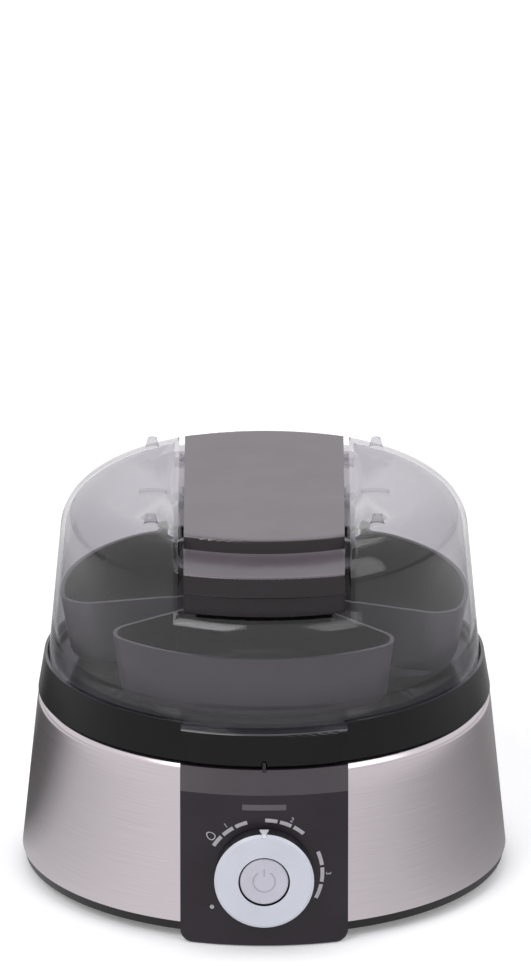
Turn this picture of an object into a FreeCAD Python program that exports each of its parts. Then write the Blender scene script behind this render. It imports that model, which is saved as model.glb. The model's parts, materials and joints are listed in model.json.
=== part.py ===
import FreeCAD, Part
import math
import os
import re
import Sketcher

# Electric egg cooker: heated steel base, lift-out egg rack, poaching tray and clear lid.
# Frame: +Z up from the table, the control panel faces -Y, the axis of the cooker is Z.
# Millimetres. "Depth" values are distances in front of the axis of the cooker, towards -Y.

document = FreeCAD.newDocument("EggCooker")
sheet = document.addObject("Spreadsheet::Sheet", "Sizes")
aliases = []

DRIVING_SIZES = [
    # base, from the table upwards
    ("dish_ring_radius", 89.8, "raised ring round the dish, the size that the rest follows"),
    ("foot_height", 5.5, "rubber foot, table to pan floor"),
    ("foot_radius", 7.0, "rubber foot"),
    ("foot_inset", 7.4, "feet, inside the black ring"),
    ("ring_bottom", 4.0, "lower edge of the black ring"),
    ("ring_top", 8.0, "joint between black ring and steel shell"),
    ("ring_inset", 1.2, "black ring, inside the edge of the shell"),
    ("ring_width", 3.0, "black ring, radial"),
    ("pan_floor", 2.5, "thickness of the pan floor"),
    ("pan_lip_height", 4.0, "lip that centres the steel shell"),
    ("pan_lip_wall", 1.5, "thickness of that lip"),
    ("shell_flare", 7.05, "steel shell, wider at its lower edge by"),
    ("ledge_width", 5.75, "ledge outside the raised ring"),
    ("shell_wall", 1.0, "steel sheet"),
    ("shoulder_round", 5.0, "rounding between wall and ledge"),
    ("ledge_height", 77.3, "ledge that carries the rack"),
    ("ledge_lap", 4.6, "ledge under the raised ring"),
    ("dish_ring_top", 81.0, "top of the raised ring"),
    ("dish_land", 6.05, "raised ring, outer to inner edge"),
    ("dish_slope", 15.75, "sloping wall of the dish, radial"),
    ("dish_floor_height", 61.0, "upper face of the dish floor"),
    ("dish_wall", 1.2, "steel sheet of the dish"),
    ("dish_edge_round", 1.4, "rounding of the raised ring"),
    ("dish_floor_round", 8.0, "rounding between floor and wall"),
    ("seal_width", 2.2, "silicone seal under the raised ring"),
    # heater and its controls
    ("plate_inset", 5.0, "heat plate, inside the edge of the dish floor"),
    ("plate_thickness", 3.0, "aluminium heat plate"),
    ("tube_inset", 16.0, "tubular heater, inside the edge of the plate"),
    ("tube_radius", 3.3, "tubular heater"),
    ("tube_gap_angle", 60.0, "open angle between the heater ends"),
    ("leg_drop", 11.0, "length of the bent-down heater ends"),
    ("pin_radius", 1.2, "terminal pin of the heater"),
    ("pin_length", 6.0, "terminal pin of the heater"),
    ("thermostat_radius", 12.0, "bimetal thermostat"),
    ("thermostat_height", 8.0, "bimetal thermostat"),
    ("blade_height", 7.0, "thermostat terminals"),
    ("fuse_radius", 2.2, "thermal fuse"),
    ("fuse_length", 16.0, "thermal fuse"),
    ("fuse_offset", 29.0, "thermal fuse, beside the thermostat"),
    ("stud_inset", 6.0, "studs, inside the edge of the plate"),
    ("stud_radius", 2.0, "tie stud, M4"),
    ("post_radius", 5.5, "pan post round a stud"),
    ("post_height", 28.0, "top of the pan posts"),
    ("nut_radius", 4.0, "nut across its corners"),
    ("nut_height", 3.2, "nut"),
    # control panel
    ("panel_half_width", 35.2, "control panel"),
    ("panel_stand", 2.4, "panel, in front of the edge of the shell"),
    ("panel_bottom", 0.5, "lower edge of the panel"),
    ("panel_face_top", 67.8, "upper edge of the front face"),
    ("panel_top", 76.0, "upper edge of the bevel"),
    ("bevel_stand", 0.95, "bevel, in front of the shell at its top"),
    ("panel_wall", 2.0, "moulded wall"),
    ("panel_corner", 5.0, "lower corners of the panel"),
    ("window_half_width", 33.0, "opening in the shell behind the panel"),
    ("window_bottom", 12.0, "opening in the shell"),
    ("window_top", 68.0, "opening in the shell"),
    ("fin_width", 1.4, "index fin on top of the panel"),
    ("fin_top", 79.4, "index fin"),
    ("lens_half_width", 9.3, "indicator lens"),
    ("lens_height", 2.7, "indicator lens"),
    ("lens_centre", 62.4, "indicator lens above the table"),
    # dial and button, depths are measured from the cooker's axis
    ("dial_centre", 32.4, "dial axis above the table"),
    ("dial_radius", 20.9, "dial knob"),
    ("dial_gap", 0.6, "knob, in front of the panel"),
    ("dial_depth", 8.0, "knob, back to front"),
    ("dial_chamfer", 1.2, "edge of the knob face"),
    ("dial_wall", 1.6, "wall of the knob"),
    ("dial_face_wall", 2.2, "thickness of the knob face"),
    ("dial_bore", 10.8, "bore round the button"),
    ("hub_radius", 13.5, "sleeve that carries the knob"),
    ("hub_reach", 4.5, "sleeve, behind its bearing"),
    ("running_gap", 0.05, "radial clearance of the sleeve"),
    ("bearing_wall", 2.0, "bearing boss of the panel"),
    ("bearing_length", 5.0, "bearing boss behind the panel wall"),
    ("clip_thickness", 1.2, "retaining ring on the sleeve"),
    ("clip_radius", 16.0, "retaining ring on the sleeve"),
    ("button_radius", 10.2, "button face"),
    ("button_inset", 0.3, "button, behind the knob face"),
    ("button_dish", 0.4, "hollow of the button face"),
    ("button_skirt", 9.5, "guided skirt of the button"),
    ("skirt_reach", 1.0, "skirt, behind the panel face"),
    ("button_travel", 1.2, "stroke of the button"),
    ("guide_gap", 0.2, "clearance between skirt and guide"),
    ("guide_wall", 0.75, "guide tube"),
    ("guide_inset", 3.1, "guide tube, behind the rim of the button"),
    ("pointer_width", 4.0, "pointer at the back"),
    ("pointer_tip", 1.4, "pointer at the front"),
    # electronics
    ("board_inset", 13.5, "circuit board, behind the panel face"),
    ("board_thickness", 1.6, "circuit board"),
    ("board_half_width", 30.0, "circuit board"),
    ("board_bottom", 9.0, "circuit board"),
    ("board_top", 67.0, "circuit board"),
    ("boss_radius", 3.2, "screw boss of the panel"),
    ("boss_side", 25.5, "screw bosses, each side of the middle"),
    ("boss_low", 16.0, "lower screw bosses"),
    ("boss_high", 60.5, "upper screw bosses"),
    ("screw_radius", 1.2, "small self-tapping screw"),
    ("head_radius", 2.4, "small self-tapping screw"),
    ("head_height", 1.6, "small self-tapping screw"),
    ("screw_length", 7.0, "small self-tapping screw"),
    ("sensor_radius", 17.5, "hollow rotary sensor"),
    ("sensor_depth", 4.6, "hollow rotary sensor"),
    ("switch_side", 7.0, "push switch"),
    ("switch_depth", 3.0, "push switch"),
    ("plunger_radius", 1.7, "push switch plunger"),
    # cord entry at the back
    ("gland_centre", 22.0, "cord entry above the table"),
    ("gland_length", 9.1, "cord entry outside its flange"),
    ("gland_bore", 3.4, "bore for the cord"),
    ("gland_neck", 6.5, "gland inside the shell hole"),
    ("gland_flange", 8.5, "gland outside the shell"),
    ("flange_stand", 1.9, "flange, outside the edge of the shell"),
    ("gland_reach", 7.1, "gland, inside the edge of the shell"),
    ("clamp_inset", 19.6, "cord clamp, inside the edge of the shell"),
    ("clamp_span", 8.5, "clamp screws, each side of the cord"),
    # egg rack
    ("seat_gap", 0.3, "clearance between pieces that lift off"),
    ("rack_height", 16.0, "rim of the rack"),
    ("rim_stand", 0.15, "rim, outside the corner of the shell"),
    ("rim_taper", 2.6, "rim, narrower at its upper edge by"),
    ("rack_wall", 2.0, "rim wall"),
    ("rack_lip", 1.3, "thickness of the rim at its upper edge"),
    ("lid_play", 0.5, "clearance of the lid inside the rim"),
    ("lid_seat_drop", 1.5, "grip slabs that carry the lid, below the upper edge"),
    ("rack_plate_drop", 4.5, "plate below the upper edge"),
    ("rack_plate", 2.0, "thickness of the plate"),
    ("egg_pitch", 57.0, "distance from hole to hole"),
    ("egg_hole", 20.7, "radius of an outer egg hole"),
    ("middle_hole", 21.7, "radius of the middle egg hole"),
    ("egg_collar", 1.6, "wall of the collar round a hole"),
    ("egg_collar_depth", 5.0, "collar, from the plate face down"),
    ("egg_web", 3.4, "width left round each hole"),
    ("notch_radius", 4.2, "steam notch in the wall of a hole"),
    ("notch_depth", 1.3, "steam notch in the wall of a hole"),
    ("star_radius", 12.9, "openings round the middle hole"),
    ("segment_width", 15.6, "openings at the rim, radial"),
    ("rim_shelf", 13.7, "flat ring between rim and openings"),
    ("drain_place", 58.5, "drain hole, in front of the middle"),
    ("drain_radius", 4.0, "drain hole"),
    ("leg_circle", 57.5, "legs under the plate"),
    ("leg_length", 14.0, "legs, from the plate face down"),
    ("leg_width", 5.4, "leg, along each of its two fins"),
    ("leg_wall", 1.6, "leg"),
    ("grip_half_width", 34.9, "grip slab of the rack"),
    ("grip_length", 29.7, "grip slab, inwards from the rim"),
    ("grip_stand", 1.3, "grip slab, outside the rim"),
    ("grip_thickness", 5.8, "grip slab"),
    ("grip_bend", 50.0, "flattening of the inner edge of the grip"),
    ("grip_corner", 2.5, "inner corners of the grip"),
    ("grip_edge", 1.6, "upper front edge of the grip"),
    ("tab_half_width", 32.1, "apron below the grip"),
    ("tab_stand", 0.6, "apron, outside the rim"),
    ("tab_corner", 2.6, "lower corners of the apron"),
    ("index_slot", 2.4, "slot in the apron over the index fin"),
    # poaching tray
    ("tray_depth", 29.0, "outside height of a cup"),
    ("tray_inset", 5.0, "cups, inside the edge of the lid"),
    ("tray_taper", 5.0, "cups, narrower at the floor by"),
    ("tray_wall", 1.6, "moulded wall"),
    ("tray_floor", 1.8, "moulded floor"),
    ("cup_inner", 9.5, "inner wall of a cup from the axis"),
    ("cup_inner_half", 13.1, "half width of that inner wall"),
    ("cup_spread", 1.08, "widening of a cup per millimetre outwards"),
    ("cup_corner", 12.0, "outer corners of a cup"),
    ("cup_inner_corner", 4.0, "inner corners of a cup"),
    ("cup_floor_round", 7.0, "rounding between floor and wall"),
    ("hub_disc_radius", 21.0, "disc that joins the cups"),
    ("hub_disc", 3.0, "thickness of that disc"),
    ("steam_hole", 9.0, "hole in the middle of the disc"),
    ("grip_tab_height", 22.2, "grip tab above the rim"),
    ("grip_tab_corner", 6.5, "upper corners of a grip tab"),
    # lid
    ("lid_height", 74.9, "lower edge to flat top"),
    ("lid_taper", 6.9, "lid, narrower at its top by"),
    ("lid_wall", 2.0, "clear plastic wall"),
    ("lid_shoulder", 19.0, "outside rounding of the shoulder"),
    ("lid_collar", 8.0, "height of the thicker collar"),
    ("lid_collar_extra", 0.8, "extra thickness of the collar, inside"),
    ("nub_place", 47.5, "nubs on the top, each way from the middle"),
    ("nub_height", 4.6, "nub"),
    ("nub_low_radius", 3.4, "nub at its foot"),
    ("nub_high_radius", 1.9, "nub at its tip"),
    ("vent_place", 47.0, "vent slots, each side of the middle"),
    ("vent_back", 10.5, "centre of a vent arc in front of the middle"),
    ("vent_bend", 7.0, "bend radius of a vent slot"),
    ("vent_half", 1.75, "half width of a vent slot"),
    # lid handle, in a recess of the lid
    ("bend_centre", 20.0, "centre of the handle's curves beyond the axis"),
    ("recess_floor", 45.8, "recess above the lid's lower edge"),
    ("pocket_depth", 13.5, "deep pocket, inwards from the edge of the lid"),
    ("recess_shelf", 64.6, "shelf below the lip"),
    ("shelf_width", 11.5, "shelf below the lip"),
    ("channel_depth", 2.7, "channel across the top"),
    ("handle_gap", 0.3, "clearance in the recess"),
    ("handle_half_width", 33.7, "handle"),
    ("handle_margin", 2.4, "recess, wider than the handle on each side"),
    ("riser_wall", 2.3, "riser of the handle"),
    ("handle_boss_drop", 5.0, "boss under the band"),
    ("handle_band", 3.2, "band across the top"),
    ("apron_reach", 3.2, "lower apron, in front of the back wall of the recess"),
    ("lip_reach", 7.8, "finger lip, in front of the lower apron"),
    ("lip_bottom", 56.6, "underside of the finger lip"),
    ("lip_top", 66.4, "front edge of the lip's upper face"),
    ("lip_back_top", 68.2, "back edge of the lip's upper face"),
    ("lip_step", 3.6, "step between riser and finger lip"),
    ("lip_round", 1.6, "edges of the finger lip"),
    ("handle_boss", 3.4, "boss under the band"),
    ("handle_boss_side", 22.0, "bosses, each side of the middle"),
    ("handle_boss_reach", 38.0, "bosses, from the middle to the front and back"),
]

# Sizes that follow from the ones above, so that what fits together stays together.
DERIVED_SIZES = [
    ("dish_mouth_radius", "dish_ring_radius - dish_land", "inner edge of the raised ring"),
    ("dish_floor_radius", "dish_mouth_radius - dish_slope", "flat floor of the dish"),
    ("ledge_inner_radius", "dish_ring_radius - ledge_lap", "inner edge of the ledge"),
    ("shell_high_radius", "dish_ring_radius + ledge_width", "steel shell where wall and ledge would meet"),
    ("shell_low_radius", "shell_high_radius + shell_flare", "steel shell at its lower edge"),
    ("ring_low_radius", "shell_low_radius - ring_inset", "black ring at its lower edge"),
    ("foot_circle", "ring_low_radius - ring_width - foot_radius - foot_inset", "radius on which the feet stand"),
    ("plate_radius", "dish_floor_radius - plate_inset", "aluminium heat plate"),
    ("tube_ring_radius", "plate_radius - tube_inset", "bend radius of the tubular heater"),
    ("stud_circle", "plate_radius - stud_inset", "studs that tie dish and pan"),
    ("panel_radius", "shell_low_radius + panel_stand", "curved front of the panel"),
    ("panel_top_radius", "shell_high_radius + bevel_stand", "bevel where it meets the shell"),
    ("dial_back", "panel_radius + dial_gap", "back edge of the knob, depth"),
    ("dial_face", "dial_back + dial_depth", "front face of the knob, depth"),
    ("bearing_back", "panel_radius - panel_wall - bearing_length", "back end of the bearing boss, depth"),
    ("hub_back", "bearing_back - hub_reach", "back end of the sleeve, depth"),
    ("button_rim", "dial_face - button_inset", "front edge of the button, depth"),
    ("button_skirt_back", "panel_radius - skirt_reach", "back end of the skirt, depth"),
    ("guide_front", "button_rim - guide_inset", "front end of the guide tube, depth"),
    ("board_face", "panel_radius - board_inset", "front face of the circuit board, depth"),
    ("gland_flange_end", "shell_low_radius + flange_stand", "outer face of the flange from the axis"),
    ("gland_end", "gland_flange_end + gland_length", "outer end of the cord entry from the axis"),
    ("gland_inner_end", "shell_low_radius - gland_reach", "inner end of the gland from the axis"),
    ("rack_low_radius", "shell_high_radius + rim_stand", "rim at its lower edge"),
    ("rack_high_radius", "rack_low_radius - rim_taper", "rim at its upper edge"),
    ("rim_inner_radius", "rack_high_radius - rack_lip", "rim, inside"),
    ("segment_outer", "rim_inner_radius - rim_shelf", "openings at the rim, outer radius"),
    ("segment_inner", "segment_outer - segment_width", "openings at the rim, inner radius"),
    ("grip_radius", "rack_low_radius + grip_stand", "grip slab, front edge"),
    ("grip_inner", "rack_low_radius - grip_length", "grip slab, inner edge from the axis"),
    ("tab_radius", "rack_low_radius + tab_stand", "apron below the grip"),
    ("lid_low_radius", "rim_inner_radius - lid_play", "lid, outside at the lower edge"),
    ("tray_rim_radius", "lid_low_radius - tray_inset", "cup at its rim"),
    ("tray_foot_radius", "tray_rim_radius - tray_taper", "cup at its floor"),
    ("lid_high_radius", "lid_low_radius - lid_taper", "lid, outside where wall and top would meet"),
    ("recess_half_width", "handle_half_width + handle_margin", "recess in the lid"),
    ("recess_depth", "lid_low_radius - pocket_depth", "back wall of the recess from the axis"),
    ("recess_shelf_depth", "recess_depth - shelf_width", "back of the shelf from the axis"),
    ("handle_apron", "recess_depth + apron_reach", "front of the lower apron from the axis"),
    ("lip_front", "handle_apron + lip_reach", "front of the finger lip from the axis"),
    ("riser_front", "recess_shelf_depth + riser_wall", "front of the riser from the axis"),
    ("lip_back", "riser_front + lip_step", "back edge of the lip's upper face from the axis"),
    ("clamp_place", "shell_low_radius - clamp_inset", "cord clamp from the axis"),
]

for row, (alias, value, note) in enumerate(DRIVING_SIZES + DERIVED_SIZES, start=1):
    sheet.set("A%d" % row, note)
    sheet.set("B%d" % row, "=" + value if isinstance(value, str) else str(value))
    sheet.setAlias("B%d" % row, alias)
    aliases.append(alias)
document.recompute()


def formula(text):
    """The text with each sheet alias written as a reference to the sheet."""
    def refer(match):
        word = match.group(0)
        return "Sizes." + word if word in aliases else word
    return re.sub(r"[a-z]\w*", refer, text)


def amount(text):
    """The present value of a formula, as a plain number."""
    value = sheet.evalExpression(formula(text))
    return float(getattr(value, "Value", value))


def place(item, at=("0", "0", "0"), turn=((0, 0, 1), 0)):
    rotation = FreeCAD.Rotation(FreeCAD.Vector(*turn[0]), turn[1])
    item.Placement = FreeCAD.Placement(FreeCAD.Vector(), rotation)
    for letter, text in zip("xyz", at):
        if text != "0":
            item.setExpression("Placement.Base." + letter, formula(text))
    return item


FORWARDS = ((1, 0, 0), 90)
BACKWARDS = ((1, 0, 0), -90)


def solid(kind, name, at=("0", "0", "0"), turn=((0, 0, 1), 0), **sizes):
    item = document.addObject("Part::" + kind, name)
    for key, text in sizes.items():
        item.setExpression(key, formula(text))
    return place(item, at, turn)


def block(name, x, y, z):
    """A box between two formulas along each axis."""
    return solid("Box", name, at=(x[0], y[0], z[0]),
                 Length="(%s) - (%s)" % (x[1], x[0]),
                 Width="(%s) - (%s)" % (y[1], y[0]),
                 Height="(%s) - (%s)" % (z[1], z[0]))


def rod(name, radius, low, high, x="0", y="0"):
    """An upright cylinder between two heights."""
    return solid("Cylinder", name, at=(x, y, low), Radius=radius, Height="(%s) - (%s)" % (high, low))


def frustum(name, low_radius, high_radius, low, high, x="0", y="0"):
    return solid("Cone", name, at=(x, y, low), Radius1=low_radius, Radius2=high_radius,
                 Height="(%s) - (%s)" % (high, low))


def forward_rod(name, radius, back, front, x="0", z="dial_centre"):
    """A cylinder that points at the front, between two depths."""
    return solid("Cylinder", name, at=(x, "-(%s)" % back, z), turn=FORWARDS,
                 Radius=radius, Height="(%s) - (%s)" % (front, back))


def join(name, *pieces):
    item = document.addObject("Part::MultiFuse", name)
    item.Shapes = list(pieces)
    item.Refine = True
    return item


def cut(name, base, *tools):
    item = document.addObject("Part::Cut", name)
    item.Base = base
    item.Tool = tools[0] if len(tools) == 1 else group(name + "Tools", *tools)
    item.Refine = True
    return item


def overlap(name, *pieces):
    item = document.addObject("Part::MultiCommon", name)
    item.Shapes = list(pieces)
    return item


def group(name, *pieces):
    """Separate solids kept together, such as a set of like screws."""
    item = document.addObject("Part::Compound", name)
    item.Links = list(pieces)
    return item


def turned(name, outline, rounds=(), at=("0", "0", "0"), turn=((0, 0, 1), 0)):
    """A body turned about its own Z axis from an outline of (radius, height) formulas."""
    body = document.addObject("PartDesign::Body", name)
    sketch = body.newObject("Sketcher::SketchObject", name + "Outline")
    plane = [f for f in body.Origin.OriginFeatures if f.Role == "XZ_Plane"][0]
    sketch.AttachmentSupport = [(plane, "")]
    sketch.MapMode = "FlatFace"
    corners = [FreeCAD.Vector(amount(r), amount(h), 0) for r, h in outline]
    for start, end in zip(corners, corners[1:] + corners[:1]):
        sketch.addGeometry(Part.LineSegment(start, end), False)
    count = len(corners)
    for i in range(count):
        sketch.addConstraint(Sketcher.Constraint("Coincident", i, 2, (i + 1) % count, 1))
    for i, (radius, height) in enumerate(outline):
        if radius == "0":
            sketch.addConstraint(Sketcher.Constraint("PointOnObject", i, 1, -2))
        else:
            index = sketch.addConstraint(Sketcher.Constraint("DistanceX", -1, 1, i, 1, corners[i].x))
            sketch.setExpression("Constraints[%d]" % index, formula(radius))
        index = sketch.addConstraint(Sketcher.Constraint("DistanceY", -1, 1, i, 1, corners[i].y))
        sketch.setExpression("Constraints[%d]" % index, formula(height))
    spun = body.newObject("PartDesign::Revolution", name + "Turned")
    spun.Profile = sketch
    spun.ReferenceAxis = (sketch, ["V_Axis"])
    spun.Angle = 360
    body.Tip = spun
    place(body, at, turn)
    document.recompute()
    for number, (radius, height, rounding) in enumerate(rounds):
        edges = circles_at(spun.Shape, amount(radius), amount(height))
        fillet = body.newObject("PartDesign::Fillet", "%sRound%d" % (name, number))
        fillet.Base = (spun, edges)
        fillet.setExpression("Radius", formula(rounding))
        body.Tip = fillet
        document.recompute()
        spun = fillet
    return body


def circles_at(shape, radius, height):
    """Names of the circular edges about the turning axis, at a radius and height."""
    names = []
    for number, edge in enumerate(shape.Edges, start=1):
        if not isinstance(edge.Curve, Part.Circle):
            continue
        flat = abs(edge.Curve.Center.z - height) < 0.01 and abs(edge.Curve.Center.x) < 0.01
        if flat and abs(edge.Curve.Radius - radius) < 0.01:
            names.append("Edge%d" % number)
    return names


def rounded(name, base, radius, wanted):
    """A piece with the edges that a test picks out rounded."""
    document.recompute()
    item = document.addObject("Part::Fillet", name)
    item.Base = base
    size = amount(radius)
    numbers = [n for n, edge in enumerate(base.Shape.Edges, start=1) if wanted(edge)]
    item.Edges = [(n, size, size) for n in numbers]
    base.Visibility = False
    document.recompute()
    return item


def upright(edge):
    """True for a straight edge that rises more than it leans."""
    ends = [v.Point for v in edge.Vertexes]
    if len(ends) != 2:
        return False
    run = ends[1] - ends[0]
    return abs(run.z) > 0.9 * run.Length


def level_at(height):
    """A test for edges that lie flat at one height."""
    def flat(edge):
        box = edge.BoundBox
        return abs(box.ZMin - height) < 0.01 and abs(box.ZMax - height) < 0.01
    return flat


finished = []


def keep(item, label):
    item.Label = label
    finished.append(item)
    return item


def sectors(name, item, count, first):
    """The piece as equal touching solids between upright planes through the axis."""
    shares = []
    for number in range(count):
        wedge = solid("Cylinder", "%sWedge%d" % (name, number), turn=((0, 0, 1), first + number * 360 / count),
                      Radius="2 * shell_low_radius", Height="4 * shell_low_radius", Angle=str(360 / count))
        shares.append(overlap("%sShare%d" % (name, number), item, wedge))
    return shares


def opposite(name, item):
    """The same piece on the other side of the cooker's axis."""
    twin = document.addObject("Part::Mirroring", name)
    twin.Source = item
    twin.Normal = FreeCAD.Vector(0, 1, 0)
    return twin


# Base pan: floor, visible black ring, lip, posts for the studs and the cord saddle.
pan_disc = turned("PanDisc", [
    ("0", "foot_height"),
    ("ring_low_radius - ring_width", "foot_height"),
    ("ring_low_radius - ring_width", "ring_bottom"),
    ("ring_low_radius", "ring_bottom"),
    ("shell_low_radius - 0.1", "ring_top"),
    ("shell_low_radius - shell_wall - 0.3", "ring_top"),
    ("shell_low_radius - shell_wall - 0.7", "ring_top + pan_lip_height"),
    ("shell_low_radius - shell_wall - 0.7 - pan_lip_wall", "ring_top + pan_lip_height"),
    ("shell_low_radius - shell_wall - 0.7 - pan_lip_wall", "foot_height + pan_floor"),
    ("0", "foot_height + pan_floor"),
])
STUD_ANGLES = (30, 150, 270)
FOOT_ANGLES = (45, 135, 225, 315)
posts = []
bores = []
studs = []
nuts = []
plate_underside = "dish_floor_height - dish_wall - plate_thickness"
for angle in STUD_ANGLES:
    x = "stud_circle * cos(%d deg)" % angle
    y = "stud_circle * sin(%d deg)" % angle
    posts.append(rod("Post%d" % angle, "post_radius", "foot_height + pan_floor", "post_height", x, y))
    bores.append(rod("PostBore%d" % angle, "stud_radius + 0.1", "0", "post_height + 1", x, y))
    bores.append(rod("NutPocket%d" % angle, "nut_radius + 0.2", "0", "foot_height + nut_height", x, y))
    studs.append(rod("Stud%d" % angle, "stud_radius", "foot_height + 0.3", plate_underside, x, y))
    nut = solid("Prism", "Nut%d" % angle, at=(x, y, "foot_height"), Circumradius="nut_radius",
                Height="nut_height")
    nut.Polygon = 6
    nuts.append(cut("NutBored%d" % angle, nut,
                    rod("NutBore%d" % angle, "stud_radius", "0", "foot_height + 9", x, y)))
saddle_top = "gland_centre - gland_bore - 2"
saddle = block("Saddle", ("-clamp_span - 4", "clamp_span + 4"), ("78", "88"),
               ("foot_height + pan_floor", saddle_top))
vents = []
for side in (-1, 1):
    for count in range(5):
        middle = "%d * (22 + 9 * %d)" % (side, count)
        vents.append(block("Vent%d%d" % (side + 1, count), (middle + " - 1.5", middle + " + 1.5"),
                           ("-14", "14"), ("0", "foot_height + 9")))
for side in (-1, 1):
    bores.append(rod("SaddleBore%d" % (side + 1), "screw_radius + 0.05", "foot_height + 3", saddle_top,
                     "%d * clamp_span" % side, "clamp_place"))
keep(cut("PanCut", join("PanSolid", pan_disc, saddle, *posts), *(bores + vents)), "base_pan")
keep(group("StudSet", *studs), "tie_studs")
keep(group("NutSet", *nuts), "tie_nuts")

# Rubber feet, glued under the pan floor.
feet = []
for angle in FOOT_ANGLES:
    feet.append(frustum("Foot%d" % angle, "foot_radius - 0.8", "foot_radius", "0", "foot_height",
                        "foot_circle * cos(%d deg)" % angle, "foot_circle * sin(%d deg)" % angle))
keep(group("FootSet", *feet), "rubber_feet")

# Steel shell: conical wall, rounded shoulder and the ledge that carries the rack.
shell_core = turned("ShellCore", [
    ("0", "ring_top"),
    ("shell_low_radius", "ring_top"),
    ("shell_high_radius", "ledge_height"),
    ("0", "ledge_height"),
], rounds=[("shell_high_radius", "ledge_height", "shoulder_round")])
shell_room = turned("ShellRoom", [
    ("0", "ring_top - 1"),
    ("shell_low_radius - shell_wall + (shell_low_radius - shell_high_radius) / (ledge_height - ring_top)",
     "ring_top - 1"),
    ("shell_high_radius - shell_wall", "ledge_height - shell_wall"),
    ("0", "ledge_height - shell_wall"),
], rounds=[("shell_high_radius - shell_wall", "ledge_height - shell_wall", "shoulder_round - shell_wall")])
shell_mouth = rod("ShellMouth", "ledge_inner_radius", "ledge_height - 5", "ledge_height + 5")
shell_window = block("ShellWindow", ("-window_half_width", "window_half_width"),
                     ("-shell_low_radius - 5", "-60"), ("window_bottom", "window_top"))
gland_hole = solid("Cylinder", "GlandHole", at=("0", "80", "gland_centre"), turn=BACKWARDS,
                   Radius="gland_neck + 0.1", Height="40")
keep(cut("ShellCut", shell_core, shell_room, shell_mouth, shell_window, gland_hole), "steel_shell")

# Heating dish with its raised ring, and the seal under the ring.
dish_under = "dish_floor_height - dish_wall"
keep(turned("Dish", [
    ("0", dish_under),
    ("dish_floor_radius + 0.6", dish_under),
    ("dish_mouth_radius + 0.6", "dish_ring_top - dish_wall"),
    ("dish_ring_radius - dish_wall", "dish_ring_top - dish_wall"),
    ("dish_ring_radius - dish_wall", "ledge_height"),
    ("dish_ring_radius", "ledge_height"),
    ("dish_ring_radius", "dish_ring_top"),
    ("dish_mouth_radius", "dish_ring_top"),
    ("dish_floor_radius", "dish_floor_height"),
    ("0", "dish_floor_height"),
], rounds=[("dish_ring_radius", "dish_ring_top", "dish_edge_round"),
           ("dish_mouth_radius", "dish_ring_top", "dish_edge_round"),
           ("dish_floor_radius", "dish_floor_height", "dish_floor_round")]), "heating_dish")
seal_out = "dish_ring_radius - dish_wall - 0.1"
keep(turned("Seal", [
    (seal_out + " - seal_width", "ledge_height"),
    (seal_out, "ledge_height"),
    (seal_out, "dish_ring_top - dish_wall"),
    (seal_out + " - seal_width", "dish_ring_top - dish_wall"),
]), "dish_seal")

# Heat plate, tubular heater with its two ends, thermostat and thermal fuse under the dish.
keep(rod("HeatPlate", "plate_radius", plate_underside, dish_under), "heat_plate")
tube_height = "(%s - tube_radius)" % plate_underside
ring = solid("Torus", "HeaterRing", at=("0", "0", tube_height), turn=((0, 0, 1), -60),
             Radius1="tube_ring_radius", Radius2="tube_radius", Angle3="360 - tube_gap_angle")
heater_parts = [ring]
for side in (-1, 1):
    x = "%d * tube_ring_radius * sin(tube_gap_angle / 2 * 1 deg)" % side
    y = "-tube_ring_radius * cos(tube_gap_angle / 2 * 1 deg)"
    tag = "Left" if side < 0 else "Right"
    heater_parts.append(solid("Sphere", "HeaterBend" + tag, at=(x, y, tube_height), Radius="tube_radius"))
    heater_parts.append(rod("HeaterLeg" + tag, "tube_radius", tube_height + " - leg_drop", tube_height, x, y))
    heater_parts.append(rod("HeaterPin" + tag, "pin_radius", tube_height + " - leg_drop - pin_length",
                            tube_height + " - leg_drop + 1", x, y))
keep(join("HeaterTube", *heater_parts), "heating_element")
can_low = plate_underside + " - thermostat_height"
can = rod("ThermostatCan", "thermostat_radius", can_low, plate_underside)
blades = [block("ThermostatBlade%d" % (side + 1),
                ("%d * 6 - 3.15" % side, "%d * 6 + 3.15" % side), ("-0.4", "0.4"),
                (can_low + " - blade_height", can_low + " + 0.5")) for side in (-1, 1)]
keep(join("Thermostat", can, *blades), "thermostat")
fuse_height = plate_underside + " - fuse_radius - 0.6"
fuse = solid("Cylinder", "FuseBody", at=("fuse_offset", "-fuse_length / 2", fuse_height), turn=BACKWARDS,
             Radius="fuse_radius", Height="fuse_length")
keep(fuse, "thermal_fuse")
fuse_room = solid("Cylinder", "FuseRoom", at=("fuse_offset", "-20", fuse_height), turn=BACKWARDS,
                  Radius="fuse_radius", Height="40")
keep(cut("FuseClip", block("FuseSaddle", ("fuse_offset - 4.5", "fuse_offset + 4.5"), ("-4", "4"),
                           (fuse_height + " - fuse_radius - 1", plate_underside)), fuse_room), "fuse_clip")

# Control panel: curved face, bevel, index fin, bearing boss and four screw bosses.
panel_round = rod("PanelRound", "panel_radius", "panel_bottom", "panel_face_top")
panel_bevel = frustum("PanelBevel", "panel_radius", "panel_top_radius", "panel_face_top", "panel_top")
panel_sides = block("PanelSides", ("-panel_half_width", "panel_half_width"), ("-panel_radius - 5", "-60"),
                    ("panel_bottom", "panel_top"))
panel_frame = rounded("PanelFrame", panel_sides, "panel_corner",
                      lambda edge: edge.BoundBox.YLength > 20 and edge.BoundBox.ZMax < 5)
panel_form = overlap("PanelForm", join("PanelTurned", panel_round, panel_bevel), panel_frame)
inner_half = "panel_half_width - panel_wall"
panel_room = overlap("PanelRoom",
                     rod("PanelRoomRound", "panel_radius - panel_wall", "panel_bottom - 5",
                         "panel_face_top - panel_wall"),
                     block("PanelRoomSides", ("-(%s)" % inner_half, inner_half), ("-panel_radius", "-50"),
                           ("panel_bottom + panel_wall", "panel_face_top - panel_wall")))
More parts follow.
